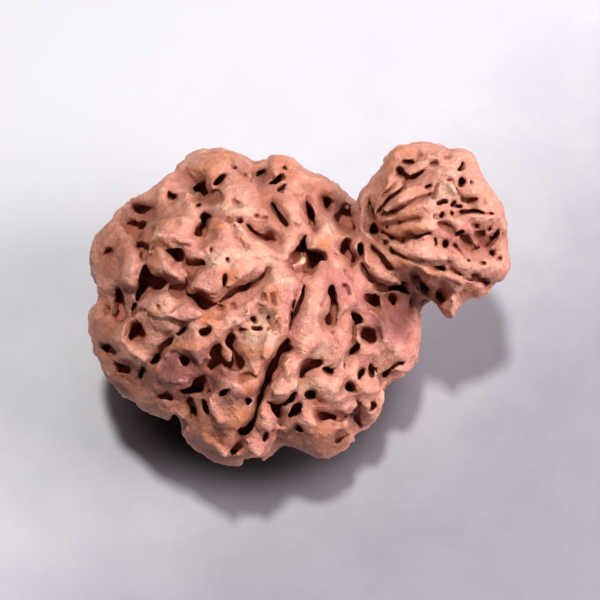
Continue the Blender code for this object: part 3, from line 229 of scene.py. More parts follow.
# The bead, the marks of its seen side
# The shell dried and shrank round the seed cells: soft valleys part the faces, cracks and slits
# run out from the stem holes, round pits lie between them, and worn folds stand up. Each row is a
# depth or height in millimetres, then points of x, y and width in steps of the sight grid.
STEEP_WALL = 2.6
GENTLE_WALL = 1.15
FUNNEL_DEPTH = 0.3
FUNNEL_REACH = 1.1
WIDE_OPENING = 0.8
NARROWEST_SHARE = 0.25
DEPTH_SHARE = 0.65
LEAST_DEPTH = 0.2
LEAST_WALL_SHARE = 0.4
BOTTOM_BLEND_SHARE = 0.35
LIP_BLEND = 0.06
WIDE_LIP_BLEND = 0.2
OUTLINE_ROOM = 0.8
GENTLE_SIDE = np.array((0.7, 0.7))
SIGHT_SEARCH = (-2.5, 6.0, 0.05)
CAVERN = 2.2
DEEP = 1.4
MIDDLE = 0.8
SHALLOW = 0.4
VALLEYS = (
    (0.6, (303, 276, 12), (293, 325, 12), (275, 358, 16), (262, 390, 16), (246, 430, 14),
     (240, 446, 8)),
    (0.5, (262, 312, 14), (246, 332, 16), (232, 346, 20), (215, 364, 20), (198, 386, 20),
     (184, 416, 24)),
    (0.5, (262, 280, 14), (238, 291, 16), (208, 304, 18), (186, 297, 16), (150, 282, 20),
     (132, 303, 16), (99, 302, 18)),
    (0.35, (275, 243, 12), (250, 228, 14), (228, 220, 14), (205, 212, 16), (198, 188, 20),
     (178, 172, 20)),
    (0.35, (286, 228, 12), (272, 205, 14), (261, 180, 16), (257, 162, 20)),
    (0.5, (304, 240, 12), (312, 216, 16), (330, 203, 20), (352, 200, 20)),
    (0.5, (362, 288, 14), (378, 308, 14), (388, 330, 14), (391, 350, 14), (386, 386, 20)),
    (0.4, (344, 276, 10), (354, 312, 12), (354, 345, 14), (352, 386, 16), (358, 410, 18),
     (361, 436, 22)),
    (0.4, (331, 272, 10), (332, 318, 14), (324, 366, 20), (308, 396, 20), (297, 415, 20),
     (284, 444, 24)),
    (0.35, (200, 205, 18), (170, 208, 16), (140, 208, 16), (115, 213, 16)),
    (0.35, (176, 290, 16), (176, 335, 16), (160, 352, 16), (142, 372, 16), (128, 392, 20)),
    (0.4, (345, 205, 16), (342, 232, 16), (352, 256, 14), (372, 290, 18), (400, 292, 18),
     (424, 302, 20)),
    (0.3, (233, 230, 8), (236, 249, 8)),
    (0.3, (110, 258, 12), (110, 275, 12)),
    (0.3, (128, 320, 12), (128, 345, 14), (140, 352, 12)),
    (0.3, (236, 305, 14), (222, 318, 14)),
    (0.3, (385, 392, 8), (378, 400, 8), (360, 403, 8)),
    (0.3, (186, 178, 14), (192, 176, 16), (205, 196, 14)),
)
HOLLOWS = (
    (0.7, (345, 212, 28), (350, 245, 26), (370, 288, 34), (400, 300, 34), (425, 312, 30)),
    (0.6, (192, 405, 26), (205, 378, 34), (226, 358, 36), (240, 344, 26)),
    (0.6, (152, 280, 28), (138, 300, 26), (118, 303, 20)),
    (0.4, (204, 186, 22), (203, 210, 20), (206, 238, 18)),
    (0.5, (318, 186, 24), (345, 214, 30)),
    (0.3, (140, 205, 22), (138, 235, 24), (142, 262, 20)),
    (0.3, (138, 333, 30), (158, 352, 22)),
    (0.3, (260, 405, 24), (300, 402, 24)),
    (0.3, (318, 415, 26), (350, 415, 16)),
    (0.35, (300, 372, 26), (326, 366, 20)),
    (0.3, (360, 372, 20), (390, 368, 18)),
    (0.35, (460, 236, 26), (490, 240, 22)),
    (0.3, (358, 322, 20), (368, 336, 24)),
    (0.3, (436, 196, 16), (462, 200, 16)),
    (0.7, (380, 312, 9), (386, 326, 11), (391, 341, 9)),
    (0.7, (402, 321, 8), (407, 331, 10), (410, 340, 8)),
    (0.5, (436, 291, 8), (446, 300, 9)),
    (0.45, (112, 248, 9), (114, 268, 11), (112, 286, 11)),
    (0.3, (100, 258, 9), (102, 276, 9)),
    (0.35, (178, 178, 12), (172, 194, 12), (168, 208, 10)),
)
OPENINGS = (
    (CAVERN, (288, 258), (292, 249), (299, 245), (303, 236), (306, 240), (306, 250), (320, 250),
     (326, 254), (327, 262), (318, 267), (309, 275), (303, 271), (296, 272), (294, 266)),
    (DEEP, (305, 284), (308, 286), (306, 300), (301, 308), (296, 318), (292, 322), (292, 316),
     (298, 305), (302, 296)),
    (CAVERN, (286, 338), (289, 340), (288, 346), (293, 349), (288, 353), (283, 355), (279, 361),
     (276, 368), (272, 374), (271, 381), (270, 388), (266, 393), (264, 400), (263, 406), (258, 413),
     (255, 421), (254, 428), (250, 434), (246, 438), (240, 437), (240, 432), (247, 425), (250, 419),
     (254, 413), (257, 406), (256, 400), (260, 392), (262, 385), (264, 375), (265, 368), (267, 362),
     (272, 357), (276, 352), (281, 344)),
    (CAVERN, (185, 295), (190, 295), (197, 293), (203, 295), (212, 302), (217, 301), (221, 296),
     (226, 291), (232, 289), (240, 286), (246, 283), (251, 279), (253, 286), (250, 289), (240, 293),
     (231, 297), (221, 300), (216, 304), (210, 308), (204, 312), (196, 306), (190, 302),
     (186, 299)),
    (1.8, (199, 217), (204, 213), (213, 215), (208, 219), (207, 227), (203, 237), (197, 238),
     (193, 233), (197, 225)),
    (1.8, (191, 187), (196, 183), (202, 182), (207, 186), (209, 192), (207, 197), (203, 201),
     (200, 198), (198, 194), (193, 193)),
    (DEEP, (213, 184), (217, 178), (222, 174), (227, 175), (224, 182), (219, 187), (215, 188)),
    (0.3, (211, 193), (222, 190), (225, 203), (210, 204), (207, 199)),
    (0.9, (131, 206), (140, 205), (150, 207), (156, 208), (151, 213), (145, 217), (138, 213)),
    (0.9, (124, 224), (132, 222), (144, 222), (147, 226), (142, 233), (139, 240), (133, 240),
     (128, 233)),
    (MIDDLE, (169, 189), (173, 192), (178, 194), (179, 199), (173, 200), (169, 197)),
    (MIDDLE, (136, 243), (143, 240), (149, 246), (148, 255), (145, 263), (140, 259), (142, 251),
     (137, 248)),
    (MIDDLE, (257, 169), (267, 168), (266, 176), (262, 181), (258, 176)),
    (DEEP, (267, 185), (272, 178), (278, 173), (284, 173), (281, 179), (275, 184), (270, 187)),
    (MIDDLE, (274, 191), (279, 186), (285, 184), (287, 187), (282, 192), (277, 194)),
    (DEEP, (268, 201), (273, 202), (277, 206), (282, 211), (285, 216), (287, 222), (289, 226),
     (285, 228), (281, 224), (277, 218), (273, 211)),
    (DEEP, (245, 223), (252, 225), (258, 228), (263, 232), (268, 232), (274, 236), (277, 241),
     (270, 244), (265, 242), (261, 238), (256, 234), (250, 229)),
    (DEEP, (220, 280), (224, 274), (228, 276), (226, 283), (223, 287)),
    (1.7, (163, 253), (170, 249), (178, 248), (184, 252), (185, 257), (181, 262), (176, 263),
     (171, 260), (166, 257)),
    (CAVERN, (142, 265), (147, 263), (150, 271), (153, 275), (158, 277), (163, 276), (168, 279),
     (169, 283), (165, 287), (159, 290), (150, 290), (146, 292), (143, 298), (139, 304), (135, 304),
     (133, 298), (134, 292), (137, 286), (136, 281), (140, 273)),
    (0.6, (183, 257), (190, 259), (203, 262), (203, 267), (195, 273), (190, 278), (186, 286),
     (184, 279), (187, 272), (183, 265)),
    (0.6, (169, 287), (176, 284), (187, 284), (188, 291), (183, 300), (177, 299), (171, 293)),
    (DEEP, (113, 290), (118, 286), (124, 291), (125, 300), (127, 310), (124, 319), (120, 323),
     (113, 322), (117, 313), (118, 300)),
    (MIDDLE, (131, 303), (136, 304), (134, 310), (136, 319), (131, 317), (129, 309)),
    (1.7, (127, 334), (131, 326), (137, 323), (144, 324), (147, 330), (145, 338), (139, 342),
     (132, 342), (127, 341)),
    (MIDDLE, (102, 347), (108, 344), (114, 347), (118, 353), (113, 358), (106, 356)),
    (1.6, (116, 362), (121, 360), (128, 362), (132, 367), (130, 373), (125, 374), (119, 370)),
    (DEEP, (175, 335), (180, 329), (186, 326), (189, 328), (186, 333), (180, 336)),
    (DEEP, (199, 332), (203, 328), (208, 326), (213, 329), (211, 333), (206, 336), (202, 337)),
    (DEEP, (177, 360), (181, 356), (186, 356), (189, 359), (189, 364), (185, 368), (180, 366)),
    (MIDDLE, (177, 335), (172, 343), (166, 350), (160, 358), (157, 352), (163, 343), (168, 336)),
    (1.6, (150, 359), (152, 353), (156, 352), (160, 356), (159, 362), (155, 365), (151, 364)),
    (MIDDLE, (142, 365), (147, 365), (148, 372), (144, 381), (138, 382), (141, 373)),
    (1.6, (156, 399), (160, 393), (165, 389), (170, 391), (176, 397), (174, 401), (165, 402),
     (158, 402)),
    (CAVERN, (189, 383), (193, 379), (199, 376), (205, 375), (207, 380), (207, 386), (203, 392),
     (196, 394), (190, 396), (184, 394), (181, 390), (186, 387)),
    (DEEP, (185, 400), (191, 399), (196, 406), (199, 414), (198, 422), (193, 419), (189, 410)),
    (DEEP, (202, 399), (206, 400), (209, 408), (210, 418), (205, 415), (202, 408)),
    (CAVERN, (204, 369), (207, 363), (211, 359), (207, 356), (208, 351), (212, 346), (217, 343),
     (221, 345), (223, 352), (223, 357), (228, 361), (232, 357), (231, 350), (226, 345), (224, 340),
     (228, 335), (233, 334), (236, 338), (234, 345), (234, 350), (238, 354), (244, 357), (244, 367),
     (240, 370), (234, 371), (228, 367), (222, 365), (218, 369), (213, 372), (209, 369)),
    (DEEP, (221, 397), (221, 391), (226, 386), (231, 388), (229, 394), (226, 398)),
    (DEEP, (243, 399), (247, 396), (252, 399), (251, 403), (247, 406), (244, 403)),
    (1.6, (270, 406), (274, 403), (280, 405), (282, 410), (282, 417), (279, 420), (274, 417),
     (271, 411)),
    (DEEP, (265, 402), (280, 403), (290, 399), (297, 392), (301, 391), (298, 398), (290, 404),
     (281, 407), (267, 407)),
    (DEEP, (292, 404), (298, 401), (305, 402), (304, 408), (298, 412), (293, 415), (288, 416),
     (290, 409)),
    (DEEP, (294, 428), (297, 423), (302, 425), (304, 431), (300, 434), (296, 432)),
    (DEEP, (230, 449), (235, 444), (241, 442), (240, 449), (237, 454), (232, 455)),
    (1.6, (306, 394), (309, 389), (313, 388), (318, 391), (318, 396), (313, 399), (308, 398)),
    (DEEP, (320, 367), (325, 365), (331, 369), (333, 373), (329, 374), (323, 372)),
    (DEEP, (299, 377), (299, 370), (303, 363), (310, 358), (319, 357), (321, 363), (315, 369),
     (309, 374), (304, 379)),
    (1.7, (315, 412), (322, 411), (329, 414), (336, 413), (334, 419), (329, 422), (323, 423),
     (318, 421)),
    (SHALLOW, (334, 412), (344, 410), (352, 414), (348, 418), (338, 421), (332, 420)),
    (0.5, (332, 441), (336, 435), (341, 430), (351, 430), (350, 434), (343, 438), (337, 441)),
    (1.6, (344, 388), (349, 381), (353, 387), (354, 393), (350, 394), (346, 392)),
    (0.45, (356, 400), (361, 403), (361, 410), (359, 418), (360, 429), (356, 424), (351, 417),
     (355, 410)),
    (MIDDLE, (367, 410), (370, 402), (376, 403), (376, 409), (371, 412)),
    (DEEP, (356, 376), (358, 370), (361, 367), (365, 368), (364, 374), (360, 381), (357, 380)),
    (DEEP, (367, 371), (370, 363), (374, 364), (375, 372), (372, 379), (368, 376)),
    (0.6, (381, 377), (383, 371), (388, 366), (394, 361), (403, 360), (405, 363), (396, 366),
     (391, 370), (389, 375), (384, 379)),
    (DEEP, (348, 354), (350, 348), (354, 341), (359, 340), (360, 346), (358, 352), (353, 356)),
    (DEEP, (350, 312), (355, 310), (361, 311), (364, 317), (363, 323), (357, 326), (353, 329),
     (354, 322), (351, 318)),
    (DEEP, (358, 332), (361, 328), (367, 327), (374, 329), (377, 335), (376, 342), (371, 345),
     (366, 342), (361, 338)),
    (DEEP, (328, 290), (332, 282), (336, 290), (338, 300), (339, 312), (337, 318), (338, 324),
     (333, 325), (326, 324), (323, 320), (326, 315), (329, 311), (330, 300)),
    (1.7, (362, 299), (366, 293), (372, 293), (380, 296), (381, 304), (380, 310), (374, 310),
     (368, 306), (363, 303)),
    (DEEP, (374, 283), (380, 286), (390, 286), (400, 284), (409, 287), (410, 293), (400, 292),
     (390, 293), (380, 293), (375, 290)),
    (DEEP, (399, 281), (403, 278), (407, 281), (407, 287), (401, 287)),
    (MIDDLE, (383, 303), (386, 296), (392, 294), (397, 299), (396, 306), (391, 307), (387, 302)),
    (CAVERN, (340, 243), (345, 238), (349, 241), (351, 249), (356, 256), (358, 262), (353, 267),
     (349, 264), (344, 257), (340, 251)),
    (CAVERN, (357, 244), (360, 241), (363, 247), (363, 256), (361, 262), (358, 258), (355, 250)),
    (1.8, (341, 203), (349, 202), (352, 212), (353, 222), (356, 229), (352, 232), (342, 231),
     (337, 224), (335, 215), (340, 210)),
    (DEEP, (320, 197), (326, 195), (331, 201), (331, 208), (326, 212), (322, 207)),
    (1.7, (303, 203), (309, 205), (313, 211), (315, 218), (317, 226), (314, 231), (309, 230),
     (307, 220), (305, 212)),
    (1.6, (371, 221), (376, 223), (380, 227), (381, 233), (376, 237), (371, 235), (369, 229)),
    (DEEP, (393, 168), (400, 168), (404, 172), (411, 176), (416, 175), (422, 171), (429, 168),
     (425, 174), (418, 180), (411, 183), (404, 179), (397, 174)),
    (MIDDLE, (399, 163), (402, 158), (410, 158), (414, 162), (408, 165), (402, 164)),
    (0.5, (369, 199), (372, 206), (375, 214), (374, 222), (369, 216), (367, 208)),
    (MIDDLE, (360, 261), (366, 267), (372, 274), (379, 280), (387, 284), (380, 286), (371, 281),
     (363, 273)),
    (0.9, (411, 274), (416, 272), (421, 276), (425, 284), (429, 288), (430, 292), (425, 294),
     (419, 289), (414, 281)),
    (DEEP, (471, 272), (476, 270), (481, 275), (486, 277), (490, 279), (485, 282), (478, 281),
     (473, 276)),
    (MIDDLE, (465, 277), (474, 276), (475, 280), (468, 281)),
    (DEEP, (434, 266), (440, 264), (444, 268), (444, 272), (439, 271)),
    (SHALLOW, (444, 262), (450, 265), (458, 271), (465, 277), (457, 276), (448, 270)),
    (DEEP, (441, 243), (444, 239), (450, 239), (452, 244), (447, 249), (442, 248)),
    (DEEP, (452, 232), (456, 228), (461, 227), (463, 230), (458, 234), (454, 235)),
    (MIDDLE, (456, 235), (464, 233), (470, 238), (474, 243), (479, 245), (478, 250), (470, 251),
     (463, 245)),
    (0.9, (473, 233), (478, 230), (485, 229), (485, 234), (489, 236), (493, 230), (498, 228),
     (500, 232), (497, 238), (491, 242), (487, 247), (479, 246), (478, 240)),
    (MIDDLE, (435, 205), (439, 202), (447, 200), (446, 204), (440, 207)),
    (MIDDLE, (448, 205), (452, 200), (458, 198), (457, 203), (452, 207)),
    (MIDDLE, (460, 195), (466, 195), (472, 196), (479, 200), (473, 203), (467, 201), (461, 200)),
    (DEEP, (458, 184), (461, 177), (465, 177), (467, 183), (463, 188), (459, 187)),
    (MIDDLE, (456, 171), (461, 166), (467, 165), (464, 170), (460, 173)),
    (SHALLOW, (434, 220), (444, 221), (451, 226), (454, 233), (446, 232), (437, 226)),
    (0.7, (434, 293), (438, 288), (444, 287), (448, 292), (447, 299), (441, 303), (435, 299)),
)
SLITS = (
    (CAVERN, (303, 272, 3), (300, 284, 2.5), (296, 293, 2.5), (293, 303, 2.5), (291, 314, 2.5),
     (290, 326, 2.5), (287, 340, 4)),
    (SHALLOW, (226, 221, 5), (236, 222, 4), (247, 225, 4)),
    (DEEP, (237, 169, 4), (243, 175, 3.5), (249, 182, 4), (252, 186, 4)),
    (SHALLOW, (226, 154, 5), (231, 160, 5), (236, 168, 4)),
    (DEEP, (350, 393, 2.5), (357, 400, 2.5)),
    (SHALLOW, (330, 249, 3), (335, 259, 3)),
    (SHALLOW, (253, 285, 6), (262, 276, 6), (268, 268, 6)),
    (MIDDLE, (342, 287, 4), (347, 295, 4)),
    (SHALLOW, (344, 273, 3), (351, 281, 3), (353, 291, 3)),
    (SHALLOW, (413, 258, 4), (431, 261, 5)),
    (MIDDLE, (443, 186, 3), (448, 184, 4), (456, 190, 3), (461, 196, 3)),
    (SHALLOW, (437, 189, 5), (433, 199, 5)),
    (MIDDLE, (489, 220, 4), (488, 229, 4)),
    (MIDDLE, (457, 245, 4), (461, 253, 4), (467, 259, 4)),
    (SHALLOW, (463, 184, 5), (473, 184, 5)),
    (SHALLOW, (410, 299, 5), (411, 316, 6)),
    (SHALLOW, (240, 377, 7), (252, 375, 7)),
    (MIDDLE, (353, 326, 4), (354, 340, 5)),
    (MIDDLE, (304, 236, 4), (303, 245, 6)),
    (MIDDLE, (203, 264, 6), (188, 262, 6)),
    (1.2, (382, 210, 5), (389, 200, 4.5), (398, 191, 4.5), (408, 182, 4.5)),
    (0.9, (385, 214, 5), (393, 212, 5.5), (401, 207, 5)),
    (0.45, (401, 207, 5), (413, 201, 5), (428, 196, 4)),
    (0.6, (388, 226, 4), (400, 223, 5), (419, 219, 5)),
    (1.0, (384, 233, 4), (392, 239, 5), (402, 240, 5.5), (414, 238, 5), (430, 234, 4.5)),
    (1.0, (387, 244, 5), (394, 251, 6), (404, 256, 4.5)),
    (0.35, (404, 256, 5), (418, 259, 5), (432, 262, 4)),
    (0.9, (371, 249, 5), (378, 259, 8), (389, 267, 6)),
    (CAVERN, (433, 216, 5), (442, 215.5, 5), (452, 214.5, 5), (462, 212.5, 5), (472, 211, 4.5),
     (483, 212, 4), (494, 212, 3.5)),
    (0.3, (384, 195, 4), (396, 183, 4)),
)
PITS = (
    (MIDDLE, 109, 252, 8, 8), (DEEP, 200, 208, 6, 6), (SHALLOW, 236, 203, 10, 6),
    (SHALLOW, 246, 213, 6, 4), (SHALLOW, 256, 216, 5, 4), (SHALLOW, 263, 219, 5, 4),
    (SHALLOW, 276, 226, 9, 5), (SHALLOW, 286, 167, 5, 5), (MIDDLE, 211, 254, 3, 5),
    (MIDDLE, 226, 260, 4, 5), (SHALLOW, 241, 242, 3, 3), (SHALLOW, 245, 245, 3, 3),
    (MIDDLE, 108, 310, 9, 9), (SHALLOW, 157, 306, 4, 4), (SHALLOW, 180, 375, 8, 6),
    (MIDDLE, 209, 390, 4, 6), (SHALLOW, 263, 296, 6, 7), (SHALLOW, 273, 298, 6, 11),
    (SHALLOW, 235, 305, 5, 7), (SHALLOW, 222, 306, 9, 7), (DEEP, 253, 320, 7, 6),
    (MIDDLE, 243, 331, 7, 6), (DEEP, 256, 329, 9, 6), (MIDDLE, 269, 320, 3, 7),
    (MIDDLE, 250, 327, 4, 4), (MIDDLE, 261, 311, 3, 5), (SHALLOW, 268, 327, 5, 4),
    (SHALLOW, 245, 338, 5, 4), (DEEP, 265, 439, 6, 9), (MIDDLE, 272, 434, 7, 5),
    (SHALLOW, 344, 365, 5, 5), (SHALLOW, 421, 156, 8, 5), (SHALLOW, 445, 158, 5, 4),
    (SHALLOW, 434, 165, 5, 5), (MIDDLE, 427, 187, 6, 5), (MIDDLE, 459, 206, 6, 4),
    (SHALLOW, 484, 203, 5, 6), (MIDDLE, 475, 226, 7, 5), (MIDDLE, 434, 243, 3, 6),
    (DEEP, 490, 252, 7, 5), (MIDDLE, 498, 257, 5, 4), (MIDDLE, 481, 260, 5, 4),
    (SHALLOW, 418, 200, 9, 3), (SHALLOW, 297, 195, 5, 4), (SHALLOW, 330, 332, 3, 3),
    (SHALLOW, 322, 305, 3, 3),
)
PLATE_WALL = 2.5
PLATE_BLEND = 0.35
PLATE_FOOT_BLEND = 0.1
PLATES = (
    (0.3, (204, 238), (208, 222), (210, 218), (217, 218), (226, 222), (238, 224), (247, 227),
     (255, 235), (265, 243), (278, 249), (290, 252), (289, 260), (268, 257), (240, 262), (222, 266),
     (208, 262), (203, 250)),
    (0.35, (147, 292), (158, 290), (166, 288), (172, 298), (184, 300), (196, 305), (204, 312),
     (198, 319), (184, 323), (170, 318), (158, 319), (145, 312), (136, 308), (142, 299)),
    (0.3, (187, 284), (191, 278), (204, 269), (225, 262), (250, 258), (262, 260), (250, 278),
     (238, 286), (228, 289), (224, 286), (214, 300), (204, 295), (190, 293)),
    (0.3, (257, 290), (275, 283), (290, 278), (300, 275), (294, 296), (290, 316), (287, 337),
     (276, 350), (266, 362), (258, 352), (268, 330), (276, 312), (268, 300)),
    (0.25, (211, 372), (222, 374), (238, 380), (243, 392), (256, 398), (255, 408), (246, 424),
     (238, 432), (226, 430), (214, 414), (210, 396)),
    (0.25, (268, 395), (274, 376), (286, 358), (297, 354), (298, 370), (296, 388), (286, 400),
     (272, 401)),
)
FOLDS = (
    (0.5, (385, 220, 6), (398, 216, 9), (412, 212, 11), (427, 210, 11)),
    (0.5, (384, 230, 5), (398, 232, 9), (413, 228, 11), (430, 227, 10)),
    (0.45, (390, 243, 5), (403, 248, 10), (422, 251, 13), (442, 256, 12)),
    (0.35, (370, 190, 5), (362, 205, 7), (361, 222, 8), (368, 237, 9), (381, 250, 9), (394, 263, 9),
     (408, 262, 8)),
    (0.4, (362, 248, 6), (367, 262, 8), (377, 273, 9), (390, 281, 9), (400, 283, 7)),
    (0.4, (376, 214, 6), (382, 199, 9), (391, 184, 10), (397, 166, 9)),
    (0.3, (382, 205, 4), (391, 194, 5), (402, 182, 6)),
    (0.4, (389, 207, 5), (401, 197, 9), (417, 187, 13), (436, 177, 13)),
    (0.4, (408, 262, 8), (425, 268, 8), (445, 276, 8), (462, 281, 7)),
    (0.35, (448, 190, 8), (453, 194, 8)),
    (0.35, (476, 284, 8), (484, 287, 8)),
    (0.4, (412, 284, 6), (420, 294, 7), (430, 300, 6)),
    (0.7, (453, 300, 8), (451, 312, 6)),
    (0.35, (151, 264, 8), (151, 250, 9), (158, 240, 10), (172, 239, 10), (186, 244, 8)),
    (0.3, (166, 264, 9), (174, 272, 10), (179, 278, 8)),
    (0.35, (160, 372, 10), (160, 360, 10), (167, 349, 10), (180, 345, 10), (194, 350, 10),
     (198, 362, 10)),
    (0.35, (166, 376, 10), (175, 384, 10), (186, 381, 8)),
    (0.35, (126, 325, 8), (122, 338, 8), (131, 350, 9), (143, 356, 9)),
    (0.4, (200, 418, 6), (204, 432, 7), (213, 444, 8), (224, 452, 8)),
    (0.35, (212, 392, 6), (214, 408, 8), (222, 422, 8)),
    (0.35, (356, 330, 5), (362, 326, 5), (372, 326, 5), (379, 334, 6), (378, 344, 6)),
    (0.35, (364, 306, 7), (374, 314, 8), (380, 326, 8), (384, 340, 8)),
    (0.3, (392, 368, 8), (402, 368, 9), (412, 364, 8)),
    (0.35, (322, 432, 12), (338, 425, 8)),
    (0.3, (247, 440, 12), (258, 448, 12)),
    (0.3, (262, 412, 8), (264, 424, 9), (284, 428, 9)),
    (0.3, (224, 345, 4), (227, 354, 5)),
    (0.3, (126, 290, 4), (128, 305, 4), (124, 322, 5)),
)
STUB = ((0.45, (295, 266, 4), (299, 263, 5), (302, 260, 7)),)
# Soft patches of colour: x, y, half width and half height in steps of the sight grid.
PATCH_SOFTNESS = 1.3
EDGE_FACING = 0.2
RUBBED = (
    (162, 243, 9, 6), (153, 256, 5, 12), (215, 226, 9, 8), (231, 275, 8, 8), (273, 297, 7, 10),
    (275, 322, 9, 9), (258, 352, 16, 8), (222, 306, 9, 8), (207, 318, 13, 6), (247, 352, 10, 9),
    (250, 377, 12, 6), (248, 392, 9, 6), (238, 415, 12, 14), (226, 433, 12, 10), (318, 441, 11, 14),
    (318, 402, 8, 9), (228, 155, 13, 6), (210, 160, 11, 8), (200, 172, 14, 8), (182, 346, 18, 4),
    (147, 315, 10, 6), (104, 330, 11, 8), (106, 262, 8, 14), (405, 151, 11, 5), (388, 163, 6, 14),
    (407, 213, 22, 5), (407, 229, 22, 4), (403, 264, 8, 5), (471, 292, 9, 6), (430, 276, 8, 9),
    (325, 243, 8, 8), (278, 370, 5, 10), (285, 158, 20, 8), (290, 170, 10, 10), (208, 440, 8, 12),
    (150, 385, 10, 8), (120, 375, 10, 8),
)
DUSTY = (
    (262, 325, 14, 18), (250, 330, 12, 10), (450, 192, 12, 10), (432, 213, 7, 16),
    (330, 225, 12, 12), (240, 208, 34, 6), (305, 384, 28, 8), (245, 256, 26, 9), (160, 300, 16, 9),
    (316, 348, 12, 18), (225, 262, 22, 6), (345, 205, 12, 9), (262, 340, 14, 8),
)
# Pinkish-mauve patches: partly the shell's own flush, partly painted shade in the shaded hollows on
# the right and between the beads.
FLUSHED_AND_SHADED = (
    (385, 303, 30, 14), (396, 325, 18, 18), (468, 240, 22, 12), (342, 214, 14, 14),
    (445, 227, 9, 5), (292, 310, 8, 22), (175, 365, 22, 14), (265, 438, 14, 8), (340, 285, 16, 14),
    (270, 238, 8, 5),
)
SHADED = (
    (386, 301, 17, 12), (399, 317, 12, 18), (379, 322, 9, 14), (345, 214, 12, 14),
    (176, 372, 20, 14), (200, 366, 18, 14), (212, 382, 14, 12), (152, 378, 14, 10),
    (232, 398, 16, 8), (110, 390, 14, 10), (214, 372, 18, 12), (118, 392, 12, 9),
)
# Brown patches on the rims and round some pits: partly the shell's own brown, partly painted shade
# where the rims turn from the light.
BROWNED_AND_SHADED = (
    (104, 330, 16, 40), (112, 250, 16, 34), (135, 385, 26, 20), (150, 215, 26, 16),
    (200, 425, 24, 22), (225, 450, 26, 14), (170, 400, 26, 16), (290, 440, 26, 10),
    (330, 440, 22, 14), (385, 200, 12, 24), (375, 230, 14, 30), (322, 195, 24, 14),
    (270, 200, 16, 30), (206, 190, 14, 18), (250, 170, 12, 14),
)


class Mark:
    """A carved or raised stroke: its points, the way it opens, half widths, depth and edge blend."""

    def __init__(self, points, opening, half_widths, depth, blend):
        self.points = points
        self.opening = opening
        self.half_widths = half_widths
        self.depth = depth
        self.blend = blend


def met_by_sight(field, x, y):
    """Where the lines of sight through these steps first meet the surface carved so far, and how
    deep below it they pass."""
    start = seen_at(x, y)
    inward = unit(start - EYE)
    travel = np.arange(*SIGHT_SEARCH)
    tried = start[:, None] + travel[:, None] * inward[:, None]
    gaps = sampled(field, tried.reshape(-1, 3)).reshape(len(start), -1)
    inside = gaps < 0
    first = np.where(inside.any(1), inside.argmax(1), gaps.argmin(1))
    return start + travel[first][:, None] * inward, -gaps.min(1)


def smoothed_outline(corners):
    """A closed outline with its corners rounded off."""
    for _ in range(2):
        ahead = np.roll(corners, -1, 0)
        near = 0.75 * corners + 0.25 * ahead
        far = 0.25 * corners + 0.75 * ahead
        corners = np.stack((near, far), 1).reshape(-1, 2)
    return corners


def wall_height(x, y, outline, steep, gentle):
    """Height of the walls that rise from a closed outline: negative inside, where they go down.
    The walls are steep on the upper left and gentle on the lower right."""
    nearest = np.full(x.shape, np.inf, np.float32)
    inside = np.zeros(x.shape, bool)
    ahead = np.roll(outline, -1, 0)
    turn = np.sign((outline[:, 0] * ahead[:, 1] - ahead[:, 0] * outline[:, 1]).sum())
    for (x0, y0), (x1, y1) in zip(outline, ahead):
        share = ((x - x0) * (x1 - x0) + (y - y0) * (y1 - y0)) / ((x1 - x0) ** 2 + (y1 - y0) ** 2)
        share = np.clip(share, 0, 1)
        gap = (x - x0 - share * (x1 - x0)) ** 2 + (y - y0 - share * (y1 - y0)) ** 2
        outward = turn * np.array((y1 - y0, x0 - x1)) / math.hypot(x1 - x0, y1 - y0)
        slope = steep + (gentle - steep) * np.clip(outward @ GENTLE_SIDE, 0, 1)
        nearest = np.minimum(nearest, gap * slope**2)
        crosses = (y0 > y) != (y1 > y)
        if y0 != y1:
            inside ^= crosses & (x < (x1 - x0) * (y - y0) / (y1 - y0) + x0)
    return np.where(inside, -1, 1) * np.sqrt(nearest) * STEP_SIZE


class Outline:
    """A closed outline on the seen side, with the part of the grid round it and its wall heights."""

    def __init__(self, depth, corners, placed, deepest, warp, steep, gentle):
        room = max(depth, 1.0) + OUTLINE_ROOM
        self.block = block_round(placed.min(0) - room, placed.max(0) + room)
        self.depth = min(depth, max(LEAST_DEPTH, DEPTH_SHARE * np.median(deepest)))
        x, y = to_sight_grid(warped_places(self.block, warp))
        self.edge = wall_height(x, y, smoothed_outline(corners), steep, gentle)


def outlines(field, warp, table, steep, gentle):
    """The outlines of a table of depth and corner points of x, y."""
    rows = [(row[0], np.array(row[1:], float)) for row in table]
    placed, deepest = met_by_sight(field, *np.concatenate([corners for _, corners in rows]).T)
    made = []
    start = 0
    for depth, corners in rows:
        own = slice(start, start + len(corners))
        made.append(Outline(depth, corners, placed[own], deepest[own], warp, steep, gentle))
        start += len(corners)
    return made


def raise_plates(field, warp):
    """Raises the flat flakes of shell from the surface."""
    skin = field.copy()
    for plate in outlines(skin, warp, PLATES, PLATE_WALL, PLATE_WALL):
        top = smooth_max(plate.edge, skin[plate.block] - plate.depth, PLATE_BLEND)
        field[plate.block] = smooth_min(field[plate.block], top, PLATE_FOOT_BLEND)


def cut_openings(field, warp):
    """Cuts the openings down through the skin along the line of sight, each in a soft funnel."""
    openings = outlines(field, warp, OPENINGS, STEEP_WALL, GENTLE_WALL)
    dips = np.zeros_like(field)
    for opening in openings:
        opening.width = np.clip(-opening.edge.min() / WIDE_OPENING, NARROWEST_SHARE, 1)
        dip = FUNNEL_DEPTH * opening.width * min(1, opening.depth / MIDDLE)
        dip = dip * np.exp(-((np.maximum(opening.edge, 0) / FUNNEL_REACH) ** 2))
        dips[opening.block] = np.maximum(dips[opening.block], dip)
    field += dips
    skin = field.copy()
    for opening in openings:
        walls = -opening.edge * np.clip(opening.depth / DEEP, LEAST_WALL_SHARE, 1)
        bottom = skin[opening.block] + opening.depth
        hole = smooth_min(walls, bottom, BOTTOM_BLEND_SHARE * opening.depth)
        lip = LIP_BLEND + WIDE_LIP_BLEND * opening.width
        field[opening.block] = smooth_max(field[opening.block], hole, lip)


